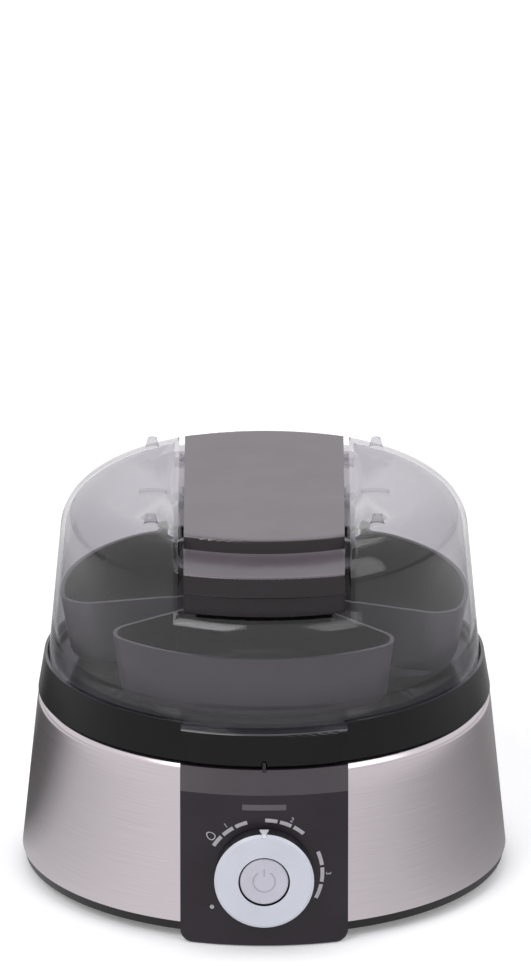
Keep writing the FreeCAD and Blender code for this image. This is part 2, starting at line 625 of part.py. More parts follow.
fin = block("IndexFin", ("-fin_width / 2", "fin_width / 2"), ("-panel_top_radius - 0.9", "-90"),
            ("panel_top - 5", "fin_top"))
fin_limit = rod("FinLimit", "rack_low_radius - rack_wall + 0.6", "ledge_height - 8", "fin_top + 5")
panel_outside = join("PanelOutside", cut("PanelHollow", panel_form, panel_room),
                     cut("FinShort", fin, fin_limit))
panel_skin = cut("PanelSkin", panel_outside, shell_core, rod("PanelPanRoom", "shell_low_radius", "0", "ring_top"))
boss_front = "panel_radius - panel_wall"
panel_bosses = []
panel_bores = []
screws = []
for side in (-1, 1):
    for level in ("boss_low", "boss_high"):
        tag = "%s%d" % (level.title().replace("_", ""), side + 1)
        x = "%d * boss_side" % side
        panel_bosses.append(overlap("Boss" + tag,
                                    forward_rod("BossRod" + tag, "boss_radius", "board_face",
                                                boss_front + " + 1", x, level),
                                    rod("BossLimit" + tag, boss_front + " + 0.5", "0", "90")))
        panel_bores.append(forward_rod("BossBore" + tag, "screw_radius", "board_face - 1",
                                       "board_face + screw_length", x, level))
        screws.append(join("Screw" + tag,
                           forward_rod("ScrewShank" + tag, "screw_radius", "board_face - board_thickness",
                                       "board_face + screw_length - 1.2", x, level),
                           forward_rod("ScrewHead" + tag, "head_radius",
                                       "board_face - board_thickness - head_height",
                                       "board_face - board_thickness", x, level)))
bearing = forward_rod("Bearing", "hub_radius + running_gap + bearing_wall", "bearing_back", boss_front)
bearing_bore = forward_rod("BearingBore", "hub_radius + running_gap", "bearing_back - 5", "panel_radius + 5")
lens_low = "lens_centre - lens_height / 2"
lens_high = "lens_centre + lens_height / 2"
lens_slot = block("LensSlot", ("-lens_half_width - 0.05", "lens_half_width + 0.05"),
                  ("-panel_radius - 2", "-panel_radius + panel_wall + 2"),
                  (lens_low + " - 0.05", lens_high + " + 0.05"))
keep(cut("PanelCut", join("PanelJoined", panel_skin, bearing, *panel_bosses), bearing_bore, lens_slot,
         *panel_bores), "control_panel")
keep(group("BoardScrewSet", *screws), "board_screws")

# Indicator: clear bar set in the panel with a light guide to the lamp on the board.
lens_bar = overlap("LensBar",
                   cut("LensCurve", rod("LensOuter", "panel_radius", "50", "75"),
                       rod("LensInner", "panel_radius - panel_wall - 0.5", "49", "76")),
                   block("LensLimit", ("-lens_half_width", "lens_half_width"),
                         ("-panel_radius - 2", "-90"), (lens_low, lens_high)))
lens_guide = block("LensGuide", ("-2.5", "2.5"), ("-panel_radius + 1", "-board_face - 3"),
                   (lens_low, lens_high))
keep(join("Lens", lens_bar, lens_guide), "indicator_lens")
keep(block("Lamp", ("-2.5", "2.5"), ("-board_face - 3", "-board_face"), (lens_low, lens_high)), "indicator_lamp")

# Circuit board and what stands on it.
board_back = "board_face - board_thickness"
board = block("Board", ("-board_half_width", "board_half_width"), ("-board_face", "-(%s)" % board_back),
              ("board_bottom", "board_top"))
board_bores = [forward_rod("BoardBore%d" % n, "screw_radius + 0.05", board_back + " - 1", "board_face + 1",
                           x, level)
               for n, (x, level) in enumerate([(s + "boss_side", level) for s in ("-", "")
                                               for level in ("boss_low", "boss_high")])]
keep(cut("BoardCut", board, *board_bores), "circuit_board")
keep(cut("SensorCut", forward_rod("Sensor", "sensor_radius", "board_face", "board_face + sensor_depth"),
         forward_rod("SensorBore", "hub_radius + running_gap", "board_face - 1", "board_face + 9")),
     "rotary_sensor")
keep(cut("SwitchCut",
         block("Switch", ("-switch_side / 2", "switch_side / 2"),
               ("-board_face - switch_depth", "-board_face"),
               ("dial_centre - switch_side / 2", "dial_centre + switch_side / 2")),
         forward_rod("SwitchWell", "plunger_radius + running_gap", "board_face + 0.6", "board_face + 9")),
     "push_switch")
keep(block("Relay", ("-22", "-5"), ("-(%s)" % board_back, "-(%s) + 12" % board_back), ("48", "60")), "relay")
keep(forward_rod("Buzzer", "6", board_back + " - 7", board_back, "14", "54"), "buzzer")
TERMINALS = (-8.5, 0, 8.5)
terminal_bores = [forward_rod("TerminalBore%d" % n, "1.5", board_back + " - 12", board_back + " - 6",
                              "%s" % x, "16.5") for n, x in enumerate(TERMINALS)]
keep(cut("TerminalCut", block("Terminal", ("-13", "13"), ("-(%s)" % board_back, "-(%s) + 10" % board_back),
                              ("12", "21")), *terminal_bores), "terminal_block")


def lead(name, points, radius, bend):
    """A wire of straight runs joined by arcs."""
    corners = [FreeCAD.Vector(*point) for point in points]
    edges = []
    start = corners[0]
    for before, corner, after in zip(corners, corners[1:], corners[2:]):
        inward = (before - corner).normalize()
        outward = (after - corner).normalize()
        half = inward.getAngle(outward) / 2
        reach = bend / math.tan(half)
        first = corner + inward * reach
        last = corner + outward * reach
        bisector = (inward + outward).normalize()
        middle = corner + bisector * (bend / math.sin(half) - bend)
        edges.append(Part.LineSegment(start, first).toShape())
        edges.append(Part.Arc(first, middle, last).toShape())
        start = last
    edges.append(Part.LineSegment(start, corners[-1]).toShape())
    path = Part.Wire(edges)
    direction = (corners[1] - corners[0]).normalize()
    section = Part.Wire([Part.Circle(corners[0], direction, radius).toShape()])
    tube = path.makePipeShell([section], True, False)
    item = document.addObject("Part::Feature", name)
    item.Shape = tube
    return item


LEAD_RADIUS = 1.4
LEAD_BEND = 7.0
wire_start = -(amount(board_back) - 6)
pin_low = amount(tube_height) - amount("leg_drop + pin_length")
pin_x = amount("tube_ring_radius * sin(tube_gap_angle / 2 * 1 deg)")
pin_y = -amount("tube_ring_radius * cos(tube_gap_angle / 2 * 1 deg)")
heater_leads = []
for side, x in ((-1, TERMINALS[0]), (1, TERMINALS[2])):
    heater_leads.append(lead("HeaterLead%d" % (side + 1), [
        (x, wire_start, 16.5), (x, -68, 16.5), (side * pin_x, pin_y - 4, 16.5),
        (side * pin_x, pin_y, pin_low - 0.3)], LEAD_RADIUS, LEAD_BEND))
keep(group("HeaterLeadSet", *heater_leads), "heater_leads")
tag_height = 36.0
stud_y = -amount("stud_circle")
keep(lead("EarthLead", [(0, wire_start, 16.5), (0, stud_y - 9.5, 16.5), (0, stud_y - 5.8, tag_height - 0.3)],
          LEAD_RADIUS, LEAD_BEND), "earth_lead")
tag_ring = rod("TagRing", "stud_radius + 5", "%s" % tag_height, "%s" % (tag_height + 1), "0", "-stud_circle")
keep(cut("TagCut", tag_ring, rod("TagBore", "stud_radius", "30", "50", "0", "-stud_circle")), "earth_tag")

# Dial: knob, sleeve, retaining ring and pointer, turned about the dial axis.
dial_place = dict(at=("0", "0", "dial_centre"), turn=FORWARDS)
knob = turned("Knob", [
    ("dial_bore", "dial_face - dial_face_wall"),
    ("hub_radius", "dial_face - dial_face_wall"),
    ("hub_radius", "dial_back + 1.4"),
    ("hub_radius + 1.7", "dial_back + 1.4"),
    ("hub_radius + 1.7", "dial_face - dial_face_wall"),
    ("dial_radius - dial_wall", "dial_face - dial_face_wall"),
    ("dial_radius - dial_wall", "dial_back"),
    ("dial_radius", "dial_back"),
    ("dial_radius", "dial_face - dial_chamfer"),
    ("dial_radius - dial_chamfer", "dial_face"),
    ("dial_bore", "dial_face"),
], **dial_place)
pointer = solid("Wedge", "Pointer", at=("0", "0", "dial_centre"),
                Xmin="-pointer_tip / 2", Xmax="pointer_tip / 2", X2min="-pointer_width / 2",
                X2max="pointer_width / 2", Ymin="-dial_face", Ymax="-dial_face + 6",
                Zmin="dial_radius - dial_wall + 0.3", Zmax="dial_radius + 0.4",
                Z2min="dial_radius - dial_wall + 0.3", Z2max="dial_radius + 0.4")
keep(cut("KnobCut", knob, pointer), "dial_knob")
keep(pointer, "dial_pointer")
keep(turned("Sleeve", [
    ("dial_bore", "hub_back"),
    ("hub_radius", "hub_back"),
    ("hub_radius", "dial_face - dial_face_wall"),
    ("dial_bore", "dial_face - dial_face_wall"),
], **dial_place), "dial_sleeve")
ring_body = forward_rod("ClipRing", "clip_radius", "bearing_back - 0.1 - clip_thickness", "bearing_back - 0.1")
ring_bore = forward_rod("ClipBore", "hub_radius", "bearing_back - 9", "bearing_back + 9")
ring_slot = block("ClipSlot", ("-5", "5"), ("-bearing_back - 5", "-bearing_back + 5"),
                  ("dial_centre - 30", "dial_centre"))
keep(cut("ClipCut", ring_body, ring_bore, ring_slot), "dial_clip")

# Button in the middle of the dial, with its guide tube and the switch plunger.
keep(turned("Button", [
    ("0", "board_face + switch_depth + 1.7"),
    ("2.5", "board_face + switch_depth + 1.7"),
    ("2.5", "button_rim - 2.1"),
    ("button_skirt - 1.2", "button_rim - 2.1"),
    ("button_skirt - 1.2", "button_skirt_back"),
    ("button_skirt", "button_skirt_back"),
    ("button_skirt", "button_rim - 1.7"),
    ("button_radius", "button_rim - 1.7"),
    ("button_radius", "button_rim - 0.4"),
    ("button_radius - 0.4", "button_rim"),
    ("0", "button_rim - button_dish"),
], **dial_place), "power_button")
keep(forward_rod("Plunger", "plunger_radius", "board_face + 2.1", "board_face + switch_depth + 1.7"),
     "switch_plunger")
guide_bore = "button_skirt + guide_gap"
keep(turned("Guide", [
    (guide_bore, "board_face"),
    (guide_bore + " + guide_wall", "board_face"),
    (guide_bore + " + guide_wall", "guide_front"),
    (guide_bore, "guide_front"),
], **dial_place), "button_guide")

# Cord entry: gland through the back of the shell, clamp bar and its screws.
gland_place = dict(at=("0", "0", "gland_centre"), turn=BACKWARDS)
gland_outside = turned("GlandOutside", [
    ("0", "gland_inner_end"),
    ("gland_flange", "gland_inner_end"),
    ("gland_flange", "gland_flange_end"),
    ("gland_neck + 0.5", "gland_flange_end"),
    ("gland_neck - 1", "gland_end"),
    ("0", "gland_end"),
], **gland_place)
gland_neck = solid("Cylinder", "GlandNeck", at=("0", "gland_inner_end", "gland_centre"), turn=BACKWARDS,
                   Radius="gland_neck", Height="gland_flange_end - gland_inner_end - 1")
gland_bore = solid("Cylinder", "GlandBore", at=("0", "60", "gland_centre"), turn=BACKWARDS,
                   Radius="gland_bore", Height="80")
keep(cut("GlandCut", join("GlandJoined", cut("GlandFlange", gland_outside, shell_core), gland_neck),
         gland_bore), "cord_gland")
bar_low = "gland_centre + gland_bore + 0.4"
clamp_bar = block("ClampBar", ("-clamp_span - 4", "clamp_span + 4"), ("clamp_place - 4", "clamp_place + 4"),
                  (bar_low, bar_low + " + 4"))
bar_bores = []
clamp_screws = []
spacers = []
for side in (-1, 1):
    x = "%d * clamp_span" % side
    bar_bores.append(rod("BarBore%d" % (side + 1), "screw_radius + 0.05", bar_low + " - 1", bar_low + " + 9",
                         x, "clamp_place"))
    spacers.append(rod("BarFoot%d" % (side + 1), "3", saddle_top, bar_low, x, "clamp_place"))
    clamp_screws.append(join("ClampScrew%d" % (side + 1),
                             rod("ClampShank%d" % (side + 1), "screw_radius", "foot_height + 4",
                                 bar_low + " + 4", x, "clamp_place"),
                             rod("ClampHead%d" % (side + 1), "head_radius", bar_low + " + 4",
                                 bar_low + " + 4 + head_height", x, "clamp_place")))
bar_bores += [rod("FootBore%d" % (side + 1), "screw_radius + 0.05", saddle_top + " - 1", bar_low + " + 1",
                  "%d * clamp_span" % side, "clamp_place") for side in (-1, 1)]
keep(cut("ClampCut", join("ClampJoined", clamp_bar, *spacers), *bar_bores), "cord_clamp")
keep(group("ClampScrewSet", *clamp_screws), "clamp_screws")

# Egg rack: rim, plate with seven holes, steam openings, legs, two grips with aprons. One moulding, kept as six
# solids that touch, with their joints clear of the egg holes, the legs and the drain hole.
rack_bottom = "(ledge_height + seat_gap)"
rack_top = "(ledge_height + seat_gap + rack_height)"
seat_height = "(%s - lid_seat_drop)" % rack_top
plate_face = "(%s - rack_plate_drop)" % rack_top
rim_body = turned("RackRim", [
    ("0", plate_face + " - rack_plate"),
    ("rim_inner_radius + 0.5", plate_face + " - rack_plate"),
    ("rack_low_radius - rack_wall", rack_bottom),
    ("rack_low_radius", rack_bottom),
    ("rack_high_radius", rack_top),
    ("rim_inner_radius", rack_top),
    ("rim_inner_radius", plate_face),
    ("0", plate_face),
])
HOLE_ANGLES = (0, 60, 120, 180, 240, 300)
hole_places = [("0", "0", 30, "middle_hole")]
for angle in HOLE_ANGLES:
    hole_places.append(("egg_pitch * cos(%d deg)" % angle, "egg_pitch * sin(%d deg)" % angle, angle + 180,
                        "egg_hole"))
collars = []
holes = []
for number, (x, y, facing, size) in enumerate(hole_places):
    collars.append(rod("Collar%d" % number, size + " + egg_collar", plate_face + " - egg_collar_depth",
                       plate_face, x, y))
    holes.append(rod("EggHole%d" % number, size, plate_face + " - 9", plate_face + " + 9", x, y))
    for turn in (0, 120, 240):
        reach = "(%s + notch_depth - notch_radius)" % size
        notch_x = "%s + %s * cos(%d deg)" % (x, reach, facing + turn)
        notch_y = "%s + %s * sin(%d deg)" % (y, reach, facing + turn)
        holes.append(rod("Notch%d_%d" % (number, turn), "notch_radius", plate_face + " - 9",
                         plate_face + " + 9", notch_x, notch_y))
web_rods = [rod("Web%d" % number, "egg_hole + egg_web", plate_face + " - 20", plate_face + " + 20", x, y)
            for number, (x, y, facing, size) in enumerate(hole_places)]
webs = group("Webs", *web_rods)
STAR_ANGLES = (30, 90, 150, 210, 270, 330)
SEGMENT_ANGLES = (30, 150, 210, 330)
openings = []
for angle in STAR_ANGLES:
    star = rod("Star%d" % angle, "star_radius", plate_face + " - 9", plate_face + " + 9",
               "egg_pitch / sqrt(3) * cos(%d deg)" % angle, "egg_pitch / sqrt(3) * sin(%d deg)" % angle)
    openings.append(cut("StarCut%d" % angle, star, webs))
for angle in SEGMENT_ANGLES:
    sweep = solid("Cylinder", "Segment%d" % angle, at=("0", "0", plate_face + " - 9"),
                  turn=((0, 0, 1), angle - 16), Radius="segment_outer", Height="18", Angle="32")
    core = rod("SegmentCore%d" % angle, "segment_inner", plate_face + " - 12", plate_face + " + 12")
    openings.append(cut("SegmentCut%d" % angle, sweep, core, webs))


def grip(tag):
    """Slab over the rim with an apron below it, on the front side."""
    slab_low = seat_height + " - grip_thickness"
    slab = overlap("Slab" + tag,
                   block("SlabBlock" + tag, ("-grip_half_width", "grip_half_width"), ("-120", "-50"),
                         (slab_low, seat_height)),
                   rod("SlabFront" + tag, "grip_radius", slab_low, seat_height))
    inner = rod("SlabInner" + tag, "grip_inner + grip_bend", slab_low + " - 5", seat_height + " + 5",
                "0", "grip_bend")
    slab_cut = rounded("SlabCorners" + tag, cut("SlabCut" + tag, slab, inner), "grip_corner",
                       lambda edge: upright(edge) and edge.BoundBox.YMin > -amount("grip_inner + 4"))
    slab_soft = rounded("SlabSoft" + tag, slab_cut, "grip_edge",
                        lambda edge: level_at(amount(seat_height))(edge)
                        and edge.BoundBox.YMin < -amount("grip_radius - 1"))
    apron_block = rounded("ApronBlock" + tag,
                          block("ApronBox" + tag, ("-tab_half_width", "tab_half_width"), ("-120", "-70"),
                                (rack_bottom, slab_low)), "tab_corner",
                          lambda edge: edge.BoundBox.YLength > 20
                          and edge.BoundBox.ZMax < amount(rack_bottom) + 0.1)
    apron = overlap("Apron" + tag, apron_block,
                    cut("ApronRing" + tag, rod("ApronOuter" + tag, "tab_radius", rack_bottom, slab_low),
                        rod("ApronInner" + tag, "rack_low_radius - rack_wall", rack_bottom + " - 1",
                            slab_low + " + 1")))
    return [slab_soft, apron]


front_grip = grip("Front")
back_grip = [opposite("Back%d" % n, piece) for n, piece in enumerate(front_grip)]
legs = []
for angle, circle in ((30, "leg_circle"), (150, "leg_circle"), (270, "leg_circle + 10")):
    along = ("cos(%d deg)" % angle, "sin(%d deg)" % angle)
    for fin_name, out, across, length, width in (
            ("LegFin", circle + " - leg_width / 2", "leg_wall / 2", "leg_width", "leg_wall"),
            ("LegFoot", circle + " + leg_width / 2 - leg_wall", "leg_width / 2", "leg_wall", "leg_width")):
        legs.append(solid("Box", "%s%d" % (fin_name, angle),
                          at=("(%s) * %s + (%s) * %s" % (out, along[0], across, along[1]),
                              "(%s) * %s - (%s) * %s" % (out, along[1], across, along[0]),
                              plate_face + " - leg_length"),
                          turn=((0, 0, 1), angle), Length=length, Width=width, Height="leg_length - 0.5"))
# The lip of the rim stops at the grips, so that the slab is one flat seat for the lid.
lip_gap = block("LipGap", ("-grip_half_width", "grip_half_width"), ("-120", "120"),
                (seat_height, rack_top + " + 5"))
slot = block("IndexSlot", ("-index_slot / 2", "index_slot / 2"), ("-120", "-80"),
             (rack_bottom + " - 1", "fin_top - 0.6"))
slot_crown = solid("Cylinder", "SlotCrown", at=("0", "-120", "fin_top - 0.6"), turn=BACKWARDS,
                   Radius="index_slot / 2", Height="40")
drain = rod("Drain", "drain_radius", plate_face + " - 9", plate_face + " + 9", "0", "-drain_place")
rack_plate = cut("RackPlate", join("RackSolid", rim_body, *(collars + legs)), drain, *(holes + openings))
rack_cut = cut("RackCut", join("RackWhole", rack_plate, *(front_grip + back_grip)), lip_gap, slot, slot_crown)
keep(group("RackParts", *sectors("Rack", rack_cut, 6, 25)), "egg_rack")

# Poaching tray: three cups round an open middle, joined by a disc, with three grip tabs.
tray_bottom = "(%s + seat_gap)" % seat_height
tray_rim = "(%s + seat_gap + tray_depth)" % seat_height


def cup(tag, wall, low, high, corner, inner_corner, floor_round):
    """One cup form: a cone cut by a wedge, all its walls moved inwards by a wall thickness."""
    cone = frustum("CupCone" + tag, "tray_foot_radius - (%s)" % wall, "tray_rim_radius - (%s)" % wall, low, high)
    slant = "((%s) * sqrt(1 + cup_spread * cup_spread))" % wall
    outer_half = "(cup_inner_half + (tray_rim_radius + 4 - cup_inner) * cup_spread - %s)" % slant
    inner_half_width = "(cup_inner_half + (%s) * cup_spread - %s)" % (wall, slant)
    wedge = solid("Wedge", "CupWedge" + tag, at=("0", "0", low), Xmin="-" + outer_half, Xmax=outer_half,
                  X2min="-" + inner_half_width, X2max=inner_half_width, Ymin="-tray_rim_radius - 4",
                  Ymax="-(cup_inner + (%s))" % wall, Zmin="0", Z2min="0",
                  Zmax="(%s) - (%s)" % (high, low), Z2max="(%s) - (%s)" % (high, low))
    form = overlap("CupForm" + tag, cone, wedge)
    outer = rounded("CupOuter" + tag, form, corner,
                    lambda edge: upright(edge) and edge.BoundBox.YMax < -amount("tray_rim_radius / 2"))
    inner = rounded("CupInner" + tag, outer, inner_corner,
                    lambda edge: upright(edge) and edge.BoundBox.YMin > -amount("tray_rim_radius / 3"))
    return rounded("CupFloor" + tag, inner, floor_round, level_at(amount(low)))


cup_solid = cup("Solid", "0", tray_bottom, tray_rim, "cup_corner", "cup_inner_corner", "cup_floor_round")
cup_void = cup("Void", "tray_wall", tray_bottom + " + tray_floor", tray_rim + " + 1",
               "cup_corner - tray_wall", "cup_inner_corner - tray_wall", "cup_floor_round - tray_wall")
tab_block = block("TabBlock", ("-cup_inner_half + 0.6", "cup_inner_half - 0.6"),
                  ("-cup_inner - tray_wall", "-cup_inner"), (tray_rim + " - 12", tray_rim + " + grip_tab_height"))
tab = rounded("GripTab", tab_block, "grip_tab_corner",
              lambda edge: edge.BoundBox.XLength < 0.01 and edge.BoundBox.ZLength < 0.01
              and edge.BoundBox.ZMin > amount(tray_rim) + 1)


def thrice(name, item):
    """The piece three times, a third of a turn apart."""
    copies = []
    for number in range(3):
        copy = document.addObject("Part::Compound", "%s%d" % (name, number))
        copy.Links = [item]
        copy.Placement = FreeCAD.Placement(FreeCAD.Vector(), FreeCAD.Rotation(FreeCAD.Vector(0, 0, 1),
                                                                              120 * number))
        copies.append(copy)
    return copies


hub_plate = rod("HubPlate", "hub_disc_radius", tray_bottom, tray_bottom + " + hub_disc")
hub_hole = rod("HubHole", "steam_hole", tray_bottom + " - 1", tray_bottom + " + hub_disc + 1")
tray_solid = join("TraySolid", hub_plate, *(thrice("CupCopy", cup_solid) + thrice("TabCopy", tab)))
tray_cut = cut("TrayCut", tray_solid, hub_hole, *thrice("VoidCopy", cup_void))
# The tray has no stop that turns it: it is shown lying a little askew. One moulding, kept as a solid per cup.
TRAY_TURN = -4.5
keep(place(group("TrayParts", *sectors("Tray", tray_cut, 3, 90)), turn=((0, 0, 1), TRAY_TURN)), "poaching_tray")

# Lid shell: tapered wall, wide shoulder, recesses for the handle, nubs and vents.
lid_low = "(%s + seat_gap)" % seat_height
lid_top = "(%s + lid_height)" % lid_low
lid_outer = turned("LidOuter", [
    ("0", lid_low),
    ("lid_low_radius", lid_low),
    ("lid_high_radius", lid_top),
    ("0", lid_top),
], rounds=[("lid_high_radius", lid_top, "lid_shoulder")])
lid_slope = "((lid_low_radius - lid_high_radius) / lid_height)"
lid_room = turned("LidRoom", [
    ("0", lid_low + " - 1"),
    ("lid_low_radius - lid_wall - lid_collar_extra", lid_low + " - 1"),
    ("lid_low_radius - lid_wall - lid_collar_extra - lid_collar * %s" % lid_slope, lid_low + " + lid_collar"),
    ("lid_low_radius - lid_wall - (lid_collar + 1) * %s" % lid_slope, lid_low + " + lid_collar + 1"),
    ("lid_high_radius - lid_wall + lid_wall * %s" % lid_slope, lid_top + " - lid_wall"),
    ("0", lid_top + " - lid_wall"),
], rounds=[("lid_high_radius - lid_wall + lid_wall * %s" % lid_slope, lid_top + " - lid_wall",
            "lid_shoulder - lid_wall")])


def recess(tag, grow):
    """Room for the handle: a deep pocket, a shelf under the lip and a channel across the top."""
    half = "(recess_half_width + %s)" % grow
    top = lid_top + " + 12"
    pockets = []
    for name, inner, low in (("Deep", "recess_depth", "recess_floor"),
                             ("Shelf", "recess_shelf_depth", "recess_shelf")):
        pocket_low = "(%s + %s - %s)" % (lid_low, low, grow)
        outer = rod(name + "Outer" + tag, "140", pocket_low, top, "0", "bend_centre")
        core = rod(name + "Core" + tag, "%s + bend_centre - %s" % (inner, grow), pocket_low + " - 1",
                   top + " + 1", "0", "bend_centre")
        pockets.append(cut(name + "Ring" + tag, outer, core))
    limit = block("PocketLimit" + tag, ("-" + half, half), ("-130", "-40"), (lid_low, top))
    front = overlap("PocketFront" + tag, join("Pockets" + tag, *pockets), limit)
    channel_end = "(recess_shelf_depth + %s)" % grow
    channel = block("Channel" + tag, ("-" + half, half), ("-" + channel_end, channel_end),
                    ("%s - channel_depth - %s" % (lid_top, grow), top))
    return [front, opposite("PocketBack" + tag, front), channel]


nubs = []
for x_side in (-1, 1):
    for y_side in (-1, 1):
        nubs.append(frustum("Nub%d%d" % (x_side + 1, y_side + 1), "nub_low_radius", "nub_high_radius",
                            lid_top + " - 0.9", lid_top + " + nub_height",
                            "%d * nub_place" % x_side, "%d * nub_place" % y_side))
vent_tools = []
for side in (-1, 1):
    x = "%d * vent_place" % side
    arc = solid("Cylinder", "VentArc%d" % (side + 1), at=(x, "-vent_back", lid_top + " - 9"),
                turn=((0, 0, 1), 54), Radius="vent_bend + vent_half", Height="18", Angle="72")
    core = rod("VentCore%d" % (side + 1), "vent_bend - vent_half", lid_top + " - 10", lid_top + " + 10", x,
               "-vent_back")
    vent_tools.append(cut("VentBand%d" % (side + 1), arc, core))
    for end in (54, 126):
        vent_tools.append(rod("VentEnd%d_%d" % (side + 1, end), "vent_half", lid_top + " - 9", lid_top + " + 9",
                              "%s + vent_bend * cos(%d deg)" % (x, end),
                              "-vent_back + vent_bend * sin(%d deg)" % end))
boss_places = [("%d * handle_boss_side" % x_side, "%d * handle_boss_reach" % y_side)
               for x_side in (-1, 1) for y_side in (-1, 1)]
boss_holes = [rod("BossHole%d" % n, "handle_boss + 0.2", lid_top + " - 15", lid_top + " + 5", x, y)
              for n, (x, y) in enumerate(boss_places)]
lid_void = cut("LidVoid", lid_room, *recess("Grown", "lid_wall"))
lid_body = cut("LidBody", lid_outer, lid_void, *recess("Bare", "0"))
keep(cut("LidCut", join("LidJoined", lid_body, *nubs), *(vent_tools + boss_holes)), "lid_shell")

# Lid handle: band across the top, risers, finger lips and aprons at the front and back.
handle_low = lid_low + " + recess_floor + handle_gap"
band_low = "%s - channel_depth + handle_gap" % lid_top
band_high = "(%s + handle_band)" % band_low
shelf = lid_low + " + recess_shelf + handle_gap"
handle_turned = turned("HandleTurned", [
    ("recess_depth + bend_centre + handle_gap", handle_low),
    ("handle_apron + bend_centre", handle_low),
    ("handle_apron + bend_centre", lid_low + " + lip_bottom"),
    ("lip_front + bend_centre", lid_low + " + lip_bottom"),
    ("lip_front + bend_centre", lid_low + " + lip_top"),
    ("lip_back + bend_centre", lid_low + " + lip_back_top"),
    ("riser_front + bend_centre + 0.4", lid_low + " + lip_back_top + 1.6"),
    ("riser_front + bend_centre - 0.6", band_high),
    ("recess_shelf_depth + bend_centre - 12", band_high),
    ("recess_shelf_depth + bend_centre - 12", band_low),
    ("recess_shelf_depth + bend_centre + handle_gap", band_low),
    ("recess_shelf_depth + bend_centre + handle_gap", shelf),
    ("recess_depth + bend_centre + handle_gap", shelf),
], rounds=[("lip_front + bend_centre", lid_low + " + lip_bottom", "lip_round"),
           ("lip_front + bend_centre", lid_low + " + lip_top", "lip_round"),
           ("riser_front + bend_centre - 0.6", band_high, "lip_round")],
    at=("0", "bend_centre", "0"))
handle_half = "handle_half_width"
handle_front = overlap("HandleFront", handle_turned,
                       block("HandleLimit", ("-" + handle_half, handle_half), ("-130", "-30"),
                             (lid_low, lid_top + " + 20")))
band = block("Band", ("-" + handle_half, handle_half), ("-recess_shelf_depth + 8", "recess_shelf_depth - 8"),
             (band_low, band_high))
handle_bosses = [rod("HandleBoss%d" % n, "handle_boss", "%s - handle_boss_drop" % band_low, band_low + " + 1",
                     x, y)
                 for n, (x, y) in enumerate(boss_places)]
boss_bores = [rod("HandleBore%d" % n, "screw_radius", "%s - handle_boss_drop - 1" % band_low,
                  band_low + " + 0.8", x, y) for n, (x, y) in enumerate(boss_places)]
keep(cut("HandleCut", join("HandleJoined", handle_front, opposite("HandleBack", handle_front), band,
                           *handle_bosses), *boss_bores), "lid_handle")
boss_end = "(%s - handle_boss_drop)" % band_low
handle_screws = []
for n, (x, y) in enumerate(boss_places):
    handle_screws.append(join("HandleScrew%d" % n,
                              rod("HandleShank%d" % n, "screw_radius", boss_end + " - 0.1", band_low, x, y),
                              rod("HandleHead%d" % n, "handle_boss + 1.6", boss_end + " - head_height",
                                  boss_end, x, y)))
keep(group("HandleScrewSet", *handle_screws), "handle_screws")

document.recompute()
faults = []
for item in document.Objects:
    if "Invalid" in item.State or "Error" in item.State:
        faults.append("%s: %s" % (item.Name, item.State))
for item in finished:
    if item.Shape.isNull() or not item.Shape.isValid():
        faults.append("%s: shape not valid" % item.Label)
if faults:
    raise RuntimeError("\n".join(faults))

os.makedirs("parts", exist_ok=True)
for item in finished:
    item.Shape.exportStep("parts/%s.step" % item.Label)
    bounds = item.Shape.BoundBox
    print("%-18s solids %d volume %9.1f  x %7.2f %7.2f  y %7.2f %7.2f  z %6.2f %6.2f"
          % (item.Label, len(item.Shape.Solids), item.Shape.Volume, bounds.XMin, bounds.XMax,
             bounds.YMin, bounds.YMax, bounds.ZMin, bounds.ZMax))
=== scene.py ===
import json
import math

import bmesh
import bpy
from mathutils import Matrix, Vector
from mathutils.bvhtree import BVHTree


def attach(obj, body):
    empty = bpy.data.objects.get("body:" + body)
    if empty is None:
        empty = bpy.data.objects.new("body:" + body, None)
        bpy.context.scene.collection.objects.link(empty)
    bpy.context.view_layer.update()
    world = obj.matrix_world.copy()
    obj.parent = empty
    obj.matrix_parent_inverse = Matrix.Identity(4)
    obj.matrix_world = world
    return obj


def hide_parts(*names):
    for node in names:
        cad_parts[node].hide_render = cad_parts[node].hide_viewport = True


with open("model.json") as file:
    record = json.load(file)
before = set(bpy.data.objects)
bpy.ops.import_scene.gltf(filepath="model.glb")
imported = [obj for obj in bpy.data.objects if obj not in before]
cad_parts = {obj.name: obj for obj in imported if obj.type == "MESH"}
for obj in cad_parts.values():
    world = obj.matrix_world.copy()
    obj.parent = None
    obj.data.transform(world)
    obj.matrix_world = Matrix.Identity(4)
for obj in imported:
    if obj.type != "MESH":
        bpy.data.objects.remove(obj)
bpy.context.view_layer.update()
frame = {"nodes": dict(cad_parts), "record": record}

nodes = frame["nodes"]
mm = 0.001
print("frame loaded:", len(nodes), "nodes")


def toLinear(hexText):
    # a colour as written for a screen, in the linear values that shaders work with
    channels = [int(hexText[i:i + 2], 16) / 255 for i in (1, 3, 5)]
    return [c / 12.92 if c <= 0.04045 else ((c + 0.055) / 1.055) ** 2.4 for c in channels] + [1.0]


def addNode(tree, kind, settings=None, links=None, stops=()):
    node = tree.nodes.new("ShaderNode" + kind)
    for key, value in (settings or {}).items():
        if isinstance(key, str) and hasattr(node, key):
            setattr(node, key, value)
        else:
            node.inputs[key].default_value = value
    for key, source in (links or {}).items():
        tree.links.new(source, node.inputs[key])
    if stops:
        elements = node.color_ramp.elements
        while len(elements) < len(stops):
            elements.new(0.5)
        for i, (position, colour) in enumerate(stops):
            elements[i].position = position
            elements[i].color = colour
    return node


def startMaterial(name, shader):
    material = bpy.data.materials.new(name)
    material.use_nodes = True
    tree = material.node_tree
    tree.nodes.clear()
    surface = addNode(tree, "BsdfPrincipled", shader)
    output = addNode(tree, "OutputMaterial")
    tree.links.new(surface.outputs[0], output.inputs[0])
    return material, tree, surface


